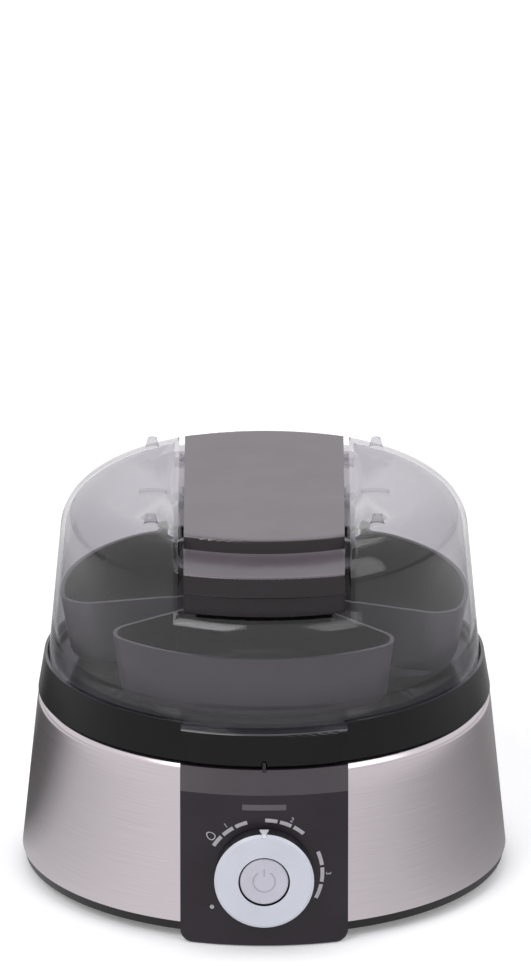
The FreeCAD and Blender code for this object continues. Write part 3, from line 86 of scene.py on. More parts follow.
def varyFinish(tree, surface, source, look, dark, light, rough):
    # tone and gloss wander together between two near values, as on anything that was made
    lowEnd, highEnd = look["colourSpan"]
    tone = addNode(tree, "ValToRGB", links={"Fac": source},
                   stops=[(lowEnd, toLinear(dark)), (highEnd, toLinear(light))])
    gloss = addNode(tree, "MapRange", {"To Min": rough - look["roughSpread"], "To Max": rough + look["roughSpread"]},
                    {"Value": source})
    tree.links.new(tone.outputs["Color"], surface.inputs["Base Color"])
    tree.links.new(gloss.outputs["Result"], surface.inputs["Roughness"])


plasticLook = {"fineDetail": 3.0, "fineRoughness": 0.6, "broadStep": 28, "broadDetail": 2.0,
               "colourSpan": (0.3, 0.7), "roughSpread": 0.04, "bumpStrength": 0.25}


def mouldedPlastic(name, dark, light, rough, grain=0.35, bump=0.02, ior=1.5, shine=0.5):
    # injection moulded: an even tone with a fine spark-eroded grain that softens every highlight
    look = plasticLook
    material, tree, surface = startMaterial(name, {"IOR": ior, "Specular IOR Level": shine})
    where = addNode(tree, "TexCoord").outputs["Object"]
    fine = addNode(tree, "TexNoise", {"Scale": 1 / (grain * mm), "Detail": look["fineDetail"],
                                      "Roughness": look["fineRoughness"]}, {"Vector": where})
    broad = addNode(tree, "TexNoise", {"Scale": 1 / (look["broadStep"] * mm), "Detail": look["broadDetail"]},
                    {"Vector": where})
    varyFinish(tree, surface, broad.outputs["Fac"], look, dark, light, rough)
    relief = addNode(tree, "Bump", {"Strength": look["bumpStrength"], "Distance": bump * mm},
                     {"Height": fine.outputs["Fac"]})
    tree.links.new(relief.outputs["Normal"], surface.inputs["Normal"])
    return material


def cylinderCoords(tree):
    # angle round the cooker's axis, height and distance from the axis
    where = addNode(tree, "TexCoord").outputs["Object"]
    apart = addNode(tree, "SeparateXYZ", links={"Vector": where})
    angle = addNode(tree, "Math", {"operation": "ARCTAN2"}, {0: apart.outputs["Y"], 1: apart.outputs["X"]})
    flat = addNode(tree, "VectorMath", {"operation": "MULTIPLY", 1: (1.0, 1.0, 0.0)}, {0: where})
    reach = addNode(tree, "VectorMath", {"operation": "LENGTH"}, {0: flat.outputs[0]})
    return angle.outputs[0], apart.outputs["Z"], reach.outputs["Value"]


steelLook = {"anisotropic": 0.6, "aroundStep": 3.0, "detail": 4.0, "roughness": 0.7,
             "colourSpan": (0.25, 0.75), "roughSpread": 0.05, "bumpStrength": 0.15}


def brushedSteel(name, dark, light, rough, lineStep, relief):
    # stainless steel brushed round the axis: hair-fine lines along the circumference, drawn a little coarser
    look = steelLook
    material, tree, surface = startMaterial(name, {"Metallic": 1.0, "Anisotropic": look["anisotropic"]})
    angle, height, reach = cylinderCoords(tree)
    across = addNode(tree, "Math", {"operation": "ADD"}, {0: height, 1: reach})
    lined = addNode(tree, "Math", {"operation": "MULTIPLY", 1: 1 / (lineStep * mm)}, {0: across.outputs[0]})
    run = addNode(tree, "Math", {"operation": "MULTIPLY", 1: look["aroundStep"]}, {0: angle})
    where = addNode(tree, "CombineXYZ", links={"X": run.outputs[0], "Y": lined.outputs[0]})
    hair = addNode(tree, "TexNoise", {"Scale": 1.0, "Detail": look["detail"], "Roughness": look["roughness"]},
                   {"Vector": where.outputs[0]})
    varyFinish(tree, surface, hair.outputs["Fac"], look, dark, light, rough)
    bumped = addNode(tree, "Bump", {"Strength": look["bumpStrength"], "Distance": relief * mm},
                     {"Height": hair.outputs["Fac"]})
    tree.links.new(bumped.outputs["Normal"], surface.inputs["Normal"])
    turn = addNode(tree, "Tangent", {"direction_type": "RADIAL", "axis": "Z"})
    tree.links.new(turn.outputs["Tangent"], surface.inputs["Tangent"])
    return material


sanLook = {"rough": 0.02, "ior": 1.01, "coat": 0.8, "coatRough": 0.03, "tint": "#DDDBE0", "edgeTint": "#8C8A93",
           "slantBlend": 0.5, "edgeSpan": (0.78, 0.98), "passing": "#E9E8EB", "swellStep": 35, "swellDetail": 1.0,
           "swellStrength": 0.05, "swellDepth": 0.3}


def clearPlastic(name):
    # SAN, polished mould: clear with a faint grey cast that deepens where the wall is seen along its face;
    # the thin even wall hardly bends what is behind it, so the IOR is matched low
    look = sanLook
    material, tree, surface = startMaterial(name, {
        "Roughness": look["rough"], "IOR": look["ior"], "Transmission Weight": 1.0,
        "Coat Weight": look["coat"], "Coat Roughness": look["coatRough"]})
    slant = addNode(tree, "LayerWeight", {"Blend": look["slantBlend"]})
    lowEnd, highEnd = look["edgeSpan"]
    cast = addNode(tree, "ValToRGB", links={"Fac": slant.outputs["Facing"]},
                   stops=[(lowEnd, toLinear(look["tint"])), (highEnd, toLinear(look["edgeTint"]))])
    tree.links.new(cast.outputs["Color"], surface.inputs["Base Color"])
    # light that only casts shadows or bounces softly goes straight through
    path = addNode(tree, "LightPath")
    through = addNode(tree, "BsdfTransparent", {"Color": toLinear(look["passing"])})
    soft = addNode(tree, "Math", {"operation": "MAXIMUM"},
                   {0: path.outputs["Is Shadow Ray"], 1: path.outputs["Is Diffuse Ray"]})
    mixed = addNode(tree, "MixShader", links={"Fac": soft.outputs[0], 1: surface.outputs[0], 2: through.outputs[0]})
    output = [n for n in tree.nodes if n.type == "OUTPUT_MATERIAL"][0]
    tree.links.new(mixed.outputs[0], output.inputs[0])
    where = addNode(tree, "TexCoord").outputs["Object"]
    swell = addNode(tree, "TexNoise", {"Scale": 1 / (look["swellStep"] * mm), "Detail": look["swellDetail"]},
                    {"Vector": where})
    relief = addNode(tree, "Bump", {"Strength": look["swellStrength"], "Distance": look["swellDepth"] * mm},
                     {"Height": swell.outputs["Fac"]})
    tree.links.new(relief.outputs["Normal"], surface.inputs["Normal"])
    return material


metalLook = {"grain": 1.2, "detail": 3.0, "colourSpan": (0.3, 0.7), "roughSpread": 0.06}


def plainMetal(name, dark, light, rough):
    # small metal parts: a faint mottle in tone and gloss, no brushing
    look = metalLook
    material, tree, surface = startMaterial(name, {"Metallic": 1.0})
    where = addNode(tree, "TexCoord").outputs["Object"]
    mottle = addNode(tree, "TexNoise", {"Scale": 1 / (look["grain"] * mm), "Detail": look["detail"]},
                     {"Vector": where})
    varyFinish(tree, surface, mottle.outputs["Fac"], look, dark, light, rough)
    return material


# dark tone, light tone, roughness, and what else differs from a plain moulding
plastics = {
    "basePolypropylene": ("#0B0A0C", "#131115", 0.42, {"shine": 0.3}),  # near black satin, a quiet foot to the steel
    "panelAbs": ("#231D24", "#282229", 0.3, {"grain": 0.3, "shine": 0.28}),  # charcoal, low sheen behind the marks
    "panelBevelPaintedLight": ("#332D33", "#393339", 0.25, {"grain": 0.3}),  # painted light: the panel where it tips to the light, one step lighter
    "rackPolypropylene": ("#060607", "#0B0B0D", 0.22, {"shine": 0.2}),  # almost black, soft lights on the edges
    "rackTopPaintedSheen": ("#26262B", "#2C2C32", 0.14, {"shine": 0.7}),  # glossier, with a painted grey sheen in its base colour
    "trayPolypropylene": ("#3D373E", "#454047", 0.3, {"grain": 0.5, "bump": 0.006}),  # warm dark grey, smooth
    "trayPaintedShade": ("#151011", "#1A1516", 0.26, {"grain": 0.5, "bump": 0.006}),  # painted shade: the same plastic made much darker for the cups' insides and the tab
    "handleAbs": ("#1A1418", "#1F191D", 0.24, {"grain": 0.3, "shine": 0.36}),  # dark sides with a narrow highlight
    "handleTopPaintedSheen": ("#544D53", "#5C555B", 0.2, {"grain": 0.3}),  # painted sheen: a mid grey base colour on the upper faces, a little glossier too
    "footRubber": ("#101010", "#191919", 0.75, {"grain": 0.5, "bump": 0.05}),  # dull black, no highlight
    "sealSilicone": ("#8F8C88", "#9C9995", 0.55, {}),  # pale and slightly waxy
    "markInk": ("#A6A3A9", "#B0ADB3", 0.5, {}),  # flat light grey print
    "lensAcrylic": ("#4B454B", "#564F56", 0.15, {}),  # smoked and glossy, dark while the lamp is off
    "knobLacquer": ("#BFC2CC", "#C8CBD4", 0.3, {"grain": 0.2, "bump": 0.012}),  # cool even silver
    "buttonLacquer": ("#B7B5C0", "#BFBDC8", 0.28, {"grain": 0.2, "bump": 0.012}),  # silver, a touch darker
    "knobSideTone": ("#17161A", "#2B2A2F", 0.35, {"grain": 0.6, "bump": 0.15}),  # coarse and dark, on the knob's sides
    "pointerWhite": ("#D8D8DC", "#E2E2E6", 0.35, {}),  # the brightest small mark
    "symbolTint": ("#9D9BA6", "#A6A4AF", 0.4, {}),  # a thin grey line on silver
    "boardLaminate": ("#1C4A2A", "#245A34", 0.35, {}),  # dark green under a clear coat
    "componentEpoxy": ("#17171A", "#212125", 0.5, {}),  # plain black housings
    "relayPolyester": ("#1B3A8C", "#2246A0", 0.35, {}),  # a clear blue box
    "terminalPolyamide": ("#2F7A46", "#388852", 0.4, {}),  # mid green, semi-matt
    "phenolicResin": ("#3A251A", "#4A3022", 0.5, {}),  # dark brown, like old switch gear
    "plungerAcetal": ("#DAD9D4", "#E4E3DE", 0.4, {}),  # natural off-white
    "glassSilkSleeve": ("#C9C7C0", "#D8D6CF", 0.7, {"grain": 0.4, "bump": 0.2}),  # pale, matt, woven
    "earthPvc": ("#5E8C22", "#86A82A", 0.45, {}),  # green running to yellow
}
# dark tone, light tone, roughness, step of the brushed lines and their depth
steels = {
    "shellSteel": ("#C4BCC1", "#CFC7CC", 0.22, 0.4, 0.006),  # satin, shows the room as soft upright bands
    "dishSteel": ("#C5BEC4", "#D3CCD1", 0.24, 0.8, 0.006),  # turned, its light opens like a fan
}
metals = {
    "platedSteel": ("#A9A8A4", "#BDBCB8", 0.3),  # bright zinc on screws, nuts and clips
    "castAluminium": ("#B4B4B6", "#C6C6C8", 0.45),  # pale and frosted
    "annealedSteel": ("#5F5A56", "#7A746E", 0.5),  # the dull brown grey of a heater tube
    "fuseBrass": ("#B8A070", "#C6B084", 0.35),  # muted yellow
}

materials = {"lidSan": clearPlastic("lidSan")}  # water clear, read by its edges and reflections
for name, (dark, light, rough, extra) in plastics.items():
    materials[name] = mouldedPlastic(name, dark, light, rough, **extra)
for name, values in steels.items():
    materials[name] = brushedSteel(name, *values)
for name, values in metals.items():
    materials[name] = plainMetal(name, *values)
print("materials made:", len(materials))


# material, and how far the edges are eased in mm
nodeFinish = {
    "base_pan": ("basePolypropylene", 0.4), "rubber_feet": ("footRubber", 0.6), "steel_shell": ("shellSteel", 0.15),
    "heating_dish": ("dishSteel", 0.15), "control_panel": ("panelAbs", 0.5), "indicator_lens": ("lensAcrylic", 0.15),
    "dial_knob": ("knobLacquer", 0.3), "dial_pointer": ("pointerWhite", 0.15),
    "power_button": ("buttonLacquer", 0.25), "button_guide": ("componentEpoxy", 0.1),
    "egg_rack": ("rackPolypropylene", 0.5), "poaching_tray": ("trayPolypropylene", 0.5),
    "lid_shell": ("lidSan", 0.35), "lid_handle": ("handleAbs", 0.5), "cord_gland": ("footRubber", 0.4),
}
# pieces that hardly show keep the CAD mesh
plainFinish = {
    "dish_seal": "sealSilicone", "heat_plate": "castAluminium", "heating_element": "annealedSteel",
    "thermostat": "phenolicResin", "thermal_fuse": "fuseBrass", "fuse_clip": "castAluminium",
    "tie_studs": "platedSteel", "tie_nuts": "platedSteel", "board_screws": "platedSteel",
    "clamp_screws": "platedSteel", "handle_screws": "platedSteel", "dial_clip": "platedSteel",
    "earth_tag": "platedSteel", "circuit_board": "boardLaminate", "rotary_sensor": "componentEpoxy",
    "push_switch": "componentEpoxy", "buzzer": "componentEpoxy", "relay": "relayPolyester",
    "terminal_block": "terminalPolyamide", "indicator_lamp": "plungerAcetal", "switch_plunger": "plungerAcetal",
    "heater_leads": "glassSilkSleeve", "earth_lead": "earthPvc", "dial_sleeve": "basePolypropylene",
    "cord_clamp": "basePolypropylene",
}

turnedNodes = ("steel_shell", "heating_dish", "lid_shell")
jointPlanes = {"egg_rack": (6, 25.0), "poaching_tray": (3, 85.5)}  # touching solids: how many, and the first joint
# lengths in metres, angles in degrees
skinRules = {"weld": 2e-6, "jointWeld": 5e-5, "offJoint": 3e-6, "alongJoint": 0.99, "flatAngle": 0.4,
             "sharpAngle": 28, "easedAngle": 32, "segments": 2}
ringRules = {"onAxis": 1e-6, "acrossTurn": 0.04, "nearAxis": 1e-4, "sameEdge": 0.85, "decimals": 1}


def bodyOf(nodeName):
    for body, members in frame["record"]["behaviour"]["bodies"].items():
        if nodeName in members:
            return body


def openJoints(mesh, count, first):
    # the two walls where neighbouring solids touch go, so that the moulding is one skin
    walls = []
    for face in mesh.faces:
        for number in range(count):
            angle = math.radians(first + number * 360 / count)
            across = Vector((-math.sin(angle), math.cos(angle), 0))
            inPlane = all(abs(v.co.dot(across)) < skinRules["offJoint"] for v in face.verts)
            if inPlane and abs(face.normal.dot(across)) > skinRules["alongJoint"]:
                walls.append(face)
                break
    bmesh.ops.delete(mesh, geom=walls, context="FACES")


def turnedNormals(data):
    # every corner of a turned face points straight away from the axis, all round a ring alike
    corners = [Vector(n.vector) for n in data.corner_normals]
    rings = {}
    for face in data.polygons:
        around = Vector((-face.center.y, face.center.x, 0))
        if around.length < ringRules["onAxis"]:
            continue
        if abs(face.normal.dot(around.normalized())) > ringRules["acrossTurn"]:
            continue
        for i in face.loop_indices:
            at = data.vertices[data.loops[i].vertex_index].co
            reach = math.hypot(at.x, at.y)
            if reach < ringRules["nearAxis"]:
                continue
            out = Vector((at.x / reach, at.y / reach, 0))
            profile = (corners[i].dot(out), corners[i].z)
            key = (round(reach / mm, ringRules["decimals"]), round(at.z / mm, ringRules["decimals"]))
            for ring in rings.setdefault(key, []):
                if ring[0][0] * profile[0] + ring[0][1] * profile[1] > ringRules["sameEdge"]:
                    ring[1].append((i, out, profile))
                    break
            else:
                rings[key].append((profile, [(i, out, profile)]))
    for found in rings.values():
        for _, members in found:
            slope = Vector((sum(m[2][0] for m in members), sum(m[2][1] for m in members))).normalized()
            for i, out, _ in members:
                corners[i] = (out * slope.x + Vector((0, 0, slope.y))).normalized()
    data.normals_split_custom_set(corners)


def softenCopy(nodeName, materialName, edge):
    # the CAD solid again, welded, with its hard edges eased
    mesh = bmesh.new()
    mesh.from_mesh(nodes[nodeName].data)
    bmesh.ops.remove_doubles(mesh, verts=mesh.verts, dist=skinRules["weld"])
    if nodeName in jointPlanes:
        openJoints(mesh, *jointPlanes[nodeName])
        bmesh.ops.remove_doubles(mesh, verts=mesh.verts, dist=skinRules["jointWeld"])
    if nodeName not in turnedNodes:
        bmesh.ops.dissolve_limit(mesh, angle_limit=math.radians(skinRules["flatAngle"]), verts=mesh.verts,
                                 edges=mesh.edges)
    data = bpy.data.meshes.new(nodeName + "Soft")
    mesh.to_mesh(data)
    mesh.free()
    data.shade_smooth()
    data.set_sharp_from_angle(angle=math.radians(skinRules["sharpAngle"]))
    piece = bpy.data.objects.new(nodeName + "Dressed", data)
    bpy.context.scene.collection.objects.link(piece)
    if nodeName in turnedNodes:
        turnedNormals(data)
    else:
        rounding = piece.modifiers.new("easedEdges", "BEVEL")
        rounding.width = edge * mm
        rounding.segments = skinRules["segments"]
        rounding.limit_method = "ANGLE"
        rounding.angle_limit = math.radians(skinRules["easedAngle"])
        rounding.harden_normals = True
        rounding.use_clamp_overlap = True
        flatter = piece.modifiers.new("flatFaces", "WEIGHTED_NORMAL")
        flatter.keep_sharp = True
    data.materials.clear()
    data.materials.append(materials[materialName])
    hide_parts(nodeName)
    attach(piece, bodyOf(nodeName))
    return piece


dressed = {}
for nodeName, (materialName, edge) in nodeFinish.items():
    dressed[nodeName] = softenCopy(nodeName, materialName, edge)
for nodeName, materialName in plainFinish.items():
    node = nodes[nodeName]
    node.data.materials.clear()
    node.data.materials.append(materials[materialName])
print("nodes dressed:", len(nodeFinish), "eased,", len(plainFinish), "as they are")


def dressFaces(nodeName, materialName, chosen):
    # the faces that the test picks take a second material
    mesh = dressed[nodeName].data
    mesh.materials.append(materials[materialName])
    for face in mesh.polygons:
        if chosen(face):
            face.material_index = 1


trayShadeMask = {"tabReach": 20.0, "tabLow": 122.0, "rimLow": 118.0, "ahead": 3.0, "drop": 60.0,
             "flat": 0.7, "lean": 0.05, "floorTilt": 0.05}
trayMesh = dressed["poaching_tray"].data
trayTree = BVHTree.FromPolygons([v.co for v in trayMesh.vertices], [f.vertices for f in trayMesh.polygons])


def inShadedCup(face):
    # painted shade: the inside of the cups, where light hardly gets, and the tab take a darker copy of the tray's tone
    reach = math.hypot(face.center.x, face.center.y)
    if reach < trayShadeMask["tabReach"] * mm and face.center.z > trayShadeMask["tabLow"] * mm:
        return True
    if face.normal.z > trayShadeMask["flat"]:
        return face.center.z < trayShadeMask["rimLow"] * mm
    if abs(face.normal.z) > trayShadeMask["lean"]:  # the round walls lean, so their insides look up
        return face.normal.z > 0
    # beside an upright wall there is a floor below in a cup, and none between the cups
    ahead = face.center + Vector((face.normal.x, face.normal.y, 0)) * trayShadeMask["ahead"] * mm
    below = trayTree.ray_cast(ahead, Vector((0, 0, -1)), trayShadeMask["drop"] * mm)
    return below[0] is not None and below[1].z > trayShadeMask["floorTilt"]


# painted shade inside the cups and on the tab
dressFaces("poaching_tray", "trayPaintedShade", inShadedCup)

# the rack's upper faces are glossier than its sides and take a lighter base colour, a painted sheen
rackSheenMask = {"facingUp": 0.5}
dressFaces("egg_rack", "rackTopPaintedSheen", lambda face: face.normal.z > rackSheenMask["facingUp"])

# the band and the finger lips, facing up, take a lighter base colour than the sides, a painted sheen, and a lower
# roughness
handleSheenMask = {"facingUp": 0.5, "low": 150.0}
dressFaces("lid_handle", "handleTopPaintedSheen",
           lambda face: face.normal.z > handleSheenMask["facingUp"] and face.center.z > handleSheenMask["low"] * mm)

# the bevel over the panel tips to the light and takes a lighter copy of the face's tone, a painted light, a little
# glossier
bevelLightMask = {"tipped": (0.25, 0.9), "outward": 0.3, "low": 66.0}
dressFaces("control_panel", "panelBevelPaintedLight",
           lambda face: bevelLightMask["tipped"][0] < face.normal.z < bevelLightMask["tipped"][1]
           and face.normal.y < -bevelLightMask["outward"] and face.center.z > bevelLightMask["low"] * mm)

# the knob's side faces take a dark tone, its front face the silver one
knobSideMask = {"facingFront": 0.35}
dressFaces("dial_knob", "knobSideTone", lambda face: abs(face.normal.y) < knobSideMask["facingFront"])
print("second tones given")


def finishPiece(name, mesh, materialName, body):
    data = bpy.data.meshes.new(name)
    mesh.to_mesh(data)
    mesh.free()
    data.materials.append(materials[materialName])
    piece = bpy.data.objects.new(name, data)
    bpy.context.scene.collection.objects.link(piece)
    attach(piece, body)
    return piece


def addArc(mesh, centre, radius, width, start, end, steps=10):
    # a flat band in the plane of the panel, from one angle to another
    rim = []
    for reach in (radius - width / 2, radius + width / 2):
        rim.append(mesh.verts.new(((centre[0] + reach * math.cos(math.radians(start))) * mm, 0,
                                   (centre[1] + reach * math.sin(math.radians(start))) * mm)))
    edge = mesh.edges.new(rim)
    bmesh.ops.spin(mesh, geom=rim + [edge], cent=(centre[0] * mm, 0, centre[1] * mm), axis=(0, 1, 0),
                   angle=math.radians(start - end), steps=steps, use_merge=False)


def facingFront(x, z, turn=0.0):
    # from flat on the floor to upright in the plane of the panel, at a place in mm and turned in degrees
    return (Matrix.Translation((x * mm, 0, z * mm)) @ Matrix.Rotation(-math.radians(turn), 4, "Y")
            @ Matrix.Rotation(math.radians(90), 4, "X"))


def addText(mesh, text, size, centre, turn):
    curve = bpy.data.curves.new("number", "FONT")
    curve.body = text
    curve.size = size * mm
    curve.align_x = "CENTER"
    curve.align_y = "CENTER"
    curve.resolution_u = 6
    carrier = bpy.data.objects.new("number", curve)
    flat = bpy.data.meshes.new_from_object(carrier)
    flat.transform(facingFront(centre[0], centre[1], turn))
    mesh.from_mesh(flat)
    bpy.data.objects.remove(carrier)
    bpy.data.meshes.remove(flat)


def thicken(mesh, depth):
    # towards the front, out of the panel
    for face in mesh.faces:
        face.normal_update()
    raised = bmesh.ops.extrude_face_region(mesh, geom=list(mesh.faces))
    moved = [v for v in raised["geom"] if isinstance(v, bmesh.types.BMVert)]
    bmesh.ops.translate(mesh, verts=moved, vec=(0, -depth * mm, 0))
    bmesh.ops.recalc_face_normals(mesh, faces=mesh.faces)


# the print on the panel, in mm and degrees, seen from the front
panelPrint = {
    "dialCentre": (0.0, 32.4), "faceRadius": 105.0, "sink": 0.01, "thickness": 0.05,
    "arcRadius": 24.4, "arcWidth": 1.6, "dashes": 3, "dashGap": 2.6,
    "arcs": [(150.0, 107.0), (89.0, 47.5), (22.7, -27.5)],
    "numbers": [("1", 126.7), ("2", 64.3), ("3", -1.4)], "numberRadius": 26.9, "numberSize": 3.0,
    "egg": (-22.4, 16.6, 143.5), "eggRadius": 2.1, "eggInner": 0.78, "eggSlim": 0.8, "eggPoint": 0.22,
    "dot": (-21.9, -15.3), "dotRadius": 0.9,
}
marks = bmesh.new()
dialX, dialZ = panelPrint["dialCentre"]
for start, end in panelPrint["arcs"]:
    dash = (start - end - (panelPrint["dashes"] - 1) * panelPrint["dashGap"]) / panelPrint["dashes"]
    for i in range(panelPrint["dashes"]):
        first = start - i * (dash + panelPrint["dashGap"])
        addArc(marks, (dialX, dialZ), panelPrint["arcRadius"], panelPrint["arcWidth"], first, first - dash)
for text, angle in panelPrint["numbers"]:
    centre = (dialX + panelPrint["numberRadius"] * math.cos(math.radians(angle)),
              dialZ + panelPrint["numberRadius"] * math.sin(math.radians(angle)))
    addText(marks, text, panelPrint["numberSize"], centre, angle - 90)
eggX, eggZ, eggTurn = panelPrint["egg"]
eggVerts = []
for ring in (1.0, panelPrint["eggInner"]):
    made = bmesh.ops.create_circle(marks, segments=28, radius=panelPrint["eggRadius"] * ring * mm)
    eggVerts.append(made["verts"])
    for vert in made["verts"]:  # blunt at one end, narrower at the other
        pointed = 1 + panelPrint["eggPoint"] * vert.co.y / (panelPrint["eggRadius"] * mm)
        vert.co.x *= panelPrint["eggSlim"] / pointed
rings = [e for e in marks.edges if any(all(v in ring for v in e.verts) for ring in eggVerts)]
bmesh.ops.bridge_loops(marks, edges=rings)
bmesh.ops.transform(marks, matrix=facingFront(dialX + eggX, dialZ + eggZ, eggTurn - 90),
                    verts=eggVerts[0] + eggVerts[1])
dot = bmesh.ops.create_circle(marks, cap_ends=True, segments=24, radius=panelPrint["dotRadius"] * mm)
bmesh.ops.transform(marks, matrix=facingFront(dialX + panelPrint["dot"][0], dialZ + panelPrint["dot"][1]),
                    verts=dot["verts"])
thicken(marks, panelPrint["thickness"])
for vert in marks.verts:  # wrapped on the round face of the panel
    vert.co.y -= math.sqrt(((panelPrint["faceRadius"] - panelPrint["sink"]) * mm) ** 2 - vert.co.x ** 2)
finishPiece("panelMarks", marks, "markInk", "base")

buttonPrint = {"radius": 4.6, "width": 0.6, "gap": 34.0, "barLength": 3.2, "barDrop": 0.6, "thickness": 0.04,
               "face": 112.93, "hollow": 0.4, "faceEdge": 10.2}
symbol = bmesh.new()
addArc(symbol, (0, dialZ), buttonPrint["radius"], buttonPrint["width"],
       90 - buttonPrint["gap"], 90 + buttonPrint["gap"] - 360, steps=40)
bar = bmesh.ops.create_grid(symbol, x_segments=1, y_segments=1, size=0.5)
barShape = Matrix.Diagonal((buttonPrint["width"] * mm, buttonPrint["barLength"] * mm, 1, 1))
bmesh.ops.transform(symbol, verts=bar["verts"],
                    matrix=facingFront(0, dialZ + buttonPrint["radius"] - buttonPrint["barDrop"]) @ barShape)
thicken(symbol, buttonPrint["thickness"])
for vert in symbol.verts:  # the button face is slightly hollow
    reach = math.hypot(vert.co.x, vert.co.z - dialZ * mm) / mm
    vert.co.y -= (buttonPrint["face"] + buttonPrint["hollow"] * reach / buttonPrint["faceEdge"]) * mm
finishPiece("powerSymbol", symbol, "symbolTint", "button")
print("marks printed")


# how bright the studio is that the metal sees, by the direction from the cooker, 0 at the front
studioTones = [(-180, 1.0), (-160, 0.6), (-134, 0.1), (-112, 0.15), (-92, 0.7), (-70, 0.84), (-44, 0.97), (0, 1.0),
               (50, 0.78), (64, 0.64), (80, 0.5), (96, 0.4), (118, 0.3), (146, 0.4), (166, 0.8), (180, 1.0)]


def studioTone(tree, source):
    where = addNode(tree, "TexCoord").outputs[source]
    apart = addNode(tree, "SeparateXYZ", links={"Vector": where})
    forward = addNode(tree, "Math", {"operation": "MULTIPLY", 1: -1.0}, {0: apart.outputs["Y"]})
    angle = addNode(tree, "Math", {"operation": "ARCTAN2"}, {0: apart.outputs["X"], 1: forward.outputs[0]})
    share = addNode(tree, "MapRange", {"From Min": -math.pi, "From Max": math.pi}, {"Value": angle.outputs[0]})
    stops = [((angleAt + 180) / 360, (tone, tone, tone, 1)) for angleAt, tone in studioTones]
    return addNode(tree, "ValToRGB", links={"Fac": share.outputs["Result"]}, stops=stops).outputs["Color"]


# the floor: white paper that fades to pure white away from the cooker, distances in metres
paperPlan = {"size": 80, "colour": "#F6F6F7", "rough": 0.9, "lift": 0.17, "fadeToWhite": (0.6, 1.6),
             "bandsFade": (0.38, 0.6)}
paper, paperTree, paperSurface = startMaterial("whitePaper", {"Base Color": toLinear(paperPlan["colour"]),
                                                              "Roughness": paperPlan["rough"]})
paperPath = addNode(paperTree, "LightPath")
paperGlow = addNode(paperTree, "Emission", {"Strength": paperPlan["lift"]})
paperLift = addNode(paperTree, "AddShader", links={0: paperSurface.outputs[0], 1: paperGlow.outputs[0]})
paperSweep = addNode(paperTree, "Emission", {"Strength": 1.0})
paperPlace = addNode(paperTree, "TexCoord")
paperReach = addNode(paperTree, "VectorMath", {"operation": "LENGTH"}, {0: paperPlace.outputs["Object"]})
paperAway = addNode(paperTree, "MapRange", {"From Min": paperPlan["fadeToWhite"][0],
                                            "From Max": paperPlan["fadeToWhite"][1]},
                    {"Value": paperReach.outputs["Value"]})
paperSeen = addNode(paperTree, "MixShader", links={"Fac": paperAway.outputs["Result"], 1: paperLift.outputs[0],
                                                   2: paperSweep.outputs[0]})
paperCamera = addNode(paperTree, "MixShader", links={"Fac": paperPath.outputs["Is Camera Ray"],
                                                     1: paperSurface.outputs[0], 2: paperSeen.outputs[0]})
# the bands lie close to the cooker, so that its base sees them and the lid hardly does
paperFar = addNode(paperTree, "MapRange", {"From Min": paperPlan["bandsFade"][0],
                                           "From Max": paperPlan["bandsFade"][1]},
                   {"Value": paperReach.outputs["Value"]})
paperBands = addNode(paperTree, "Mix", {"data_type": "RGBA", 7: toLinear("#FFFFFF")},
                     {0: paperFar.outputs["Result"], 6: studioTone(paperTree, "Object")})
paperTone = addNode(paperTree, "Emission", {"Strength": 1.0}, {"Color": paperBands.outputs[2]})
paperGloss = addNode(paperTree, "MixShader", links={"Fac": paperPath.outputs["Is Glossy Ray"],
                                                    1: paperCamera.outputs[0], 2: paperTone.outputs[0]})
paperOut = [n for n in paperTree.nodes if n.type == "OUTPUT_MATERIAL"][0]
paperTree.links.new(paperGloss.outputs[0], paperOut.inputs[0])

sheet = bmesh.new()
bmesh.ops.create_grid(sheet, x_segments=1, y_segments=1, size=0.5)
bmesh.ops.transform(sheet, verts=sheet.verts, matrix=Matrix.Diagonal((paperPlan["size"], paperPlan["size"], 1, 1)))
floorMesh = bpy.data.meshes.new("floor")
sheet.to_mesh(floorMesh)
sheet.free()
floorMesh.materials.append(paper)
floor = bpy.data.objects.new("floor", floorMesh)
bpy.context.scene.collection.objects.link(floor)

# the room: soft grey light all round, white behind the cooker, banded only low down where metal mirrors it
skyPlan = {"ambient": "#F7F7FA", "ambientStrength": 0.62, "bandsEnd": 0.14}
world = bpy.data.worlds.new("studio")
bpy.context.scene.world = world
world.use_nodes = True
sky = world.node_tree
sky.nodes.clear()
path = addNode(sky, "LightPath")
seen = addNode(sky, "Math", {"operation": "MAXIMUM"}, {0: path.outputs["Is Camera Ray"],
                                                       1: path.outputs["Is Transmission Ray"]})
ambient = addNode(sky, "Background", {"Color": toLinear(skyPlan["ambient"]), "Strength": skyPlan["ambientStrength"]})
white = addNode(sky, "Background", {"Color": toLinear("#FFFFFF"), "Strength": 1.0})
blend = addNode(sky, "MixShader", links={"Fac": seen.outputs[0], 1: ambient.outputs[0], 2: white.outputs[0]})
rising = addNode(sky, "SeparateXYZ", links={"Vector": addNode(sky, "TexCoord").outputs["Generated"]})
overhead = addNode(sky, "MapRange", {"From Min": 0.0, "From Max": skyPlan["bandsEnd"]}, {"Value": rising.outputs["Z"]})
whiter = addNode(sky, "Mix", {"data_type": "RGBA", 7: toLinear("#FFFFFF")},
                 {0: overhead.outputs["Result"], 6: studioTone(sky, "Generated")})
banded = addNode(sky, "Background", {"Strength": 1.0}, {"Color": whiter.outputs[2]})
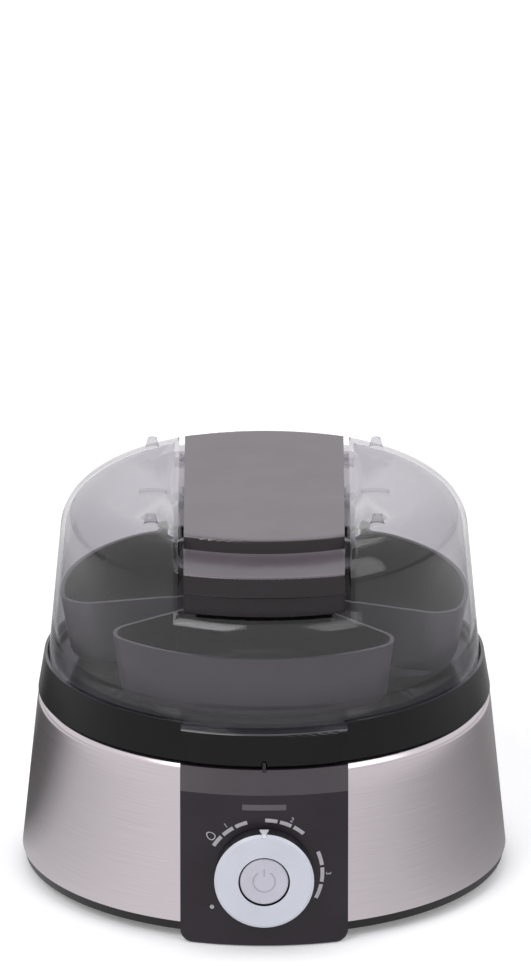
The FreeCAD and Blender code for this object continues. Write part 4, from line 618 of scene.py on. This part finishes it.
mirrored = addNode(sky, "MixShader", links={"Fac": path.outputs["Is Glossy Ray"], 1: blend.outputs[0],
                                            2: banded.outputs[0]})
addNode(sky, "OutputWorld", links={"Surface": mirrored.outputs[0]})

# place and size in metres, power in watts
lampPlan = {
    "keySoftbox": ((-1.3, -1.7, 2.1), 1.6, 30.0),  # from the left front, the main modelling light
    "fillSoftbox": ((1.7, -1.3, 1.5), 1.8, 14.0),  # from the right, lifts the shade
    "topSoftbox": ((0.1, 0.6, 2.4), 1.8, 16.0),  # from above, draws the upper edges
}
lampAim = Vector((0, 0, 0.1))
for name, (place, size, power) in lampPlan.items():
    lamp = bpy.data.lights.new(name, "AREA")
    lamp.shape = "SQUARE"
    lamp.size = size
    lamp.energy = power
    holder = bpy.data.objects.new(name, lamp)
    holder.location = place
    holder.rotation_mode = "QUATERNION"
    holder.rotation_quaternion = (lampAim - Vector(place)).to_track_quat("-Z", "Y")
    bpy.context.scene.collection.objects.link(holder)
print("studio lit")

# distance and aim in metres, elevation in degrees; the scale is the photo's own at the cooker's axis
cameraPlan = {"distance": 7.0, "elevation": 20.0, "aim": (0.00055, 0.0, 0.1672), "pixelsPerMm": 2.37,
              "imageHeight": 973, "sensorWidth": 36.0, "clip": (0.5, 200)}
lens = bpy.data.cameras.new("photoCamera")
lens.sensor_width = cameraPlan["sensorWidth"]
lens.lens = (cameraPlan["pixelsPerMm"] * cameraPlan["distance"] * 1000
             * cameraPlan["sensorWidth"] / cameraPlan["imageHeight"])
lens.clip_start, lens.clip_end = cameraPlan["clip"]
eye = bpy.data.objects.new("photoCamera", lens)
rise = math.radians(cameraPlan["elevation"])
back = Vector((0, -math.cos(rise), math.sin(rise)))
eye.location = Vector(cameraPlan["aim"]) + back * cameraPlan["distance"]
eye.rotation_mode = "QUATERNION"
eye.rotation_quaternion = (-back).to_track_quat("-Z", "Y")
bpy.context.scene.collection.objects.link(eye)
bpy.context.scene.camera = eye
bpy.context.scene.view_settings.view_transform = "Standard"
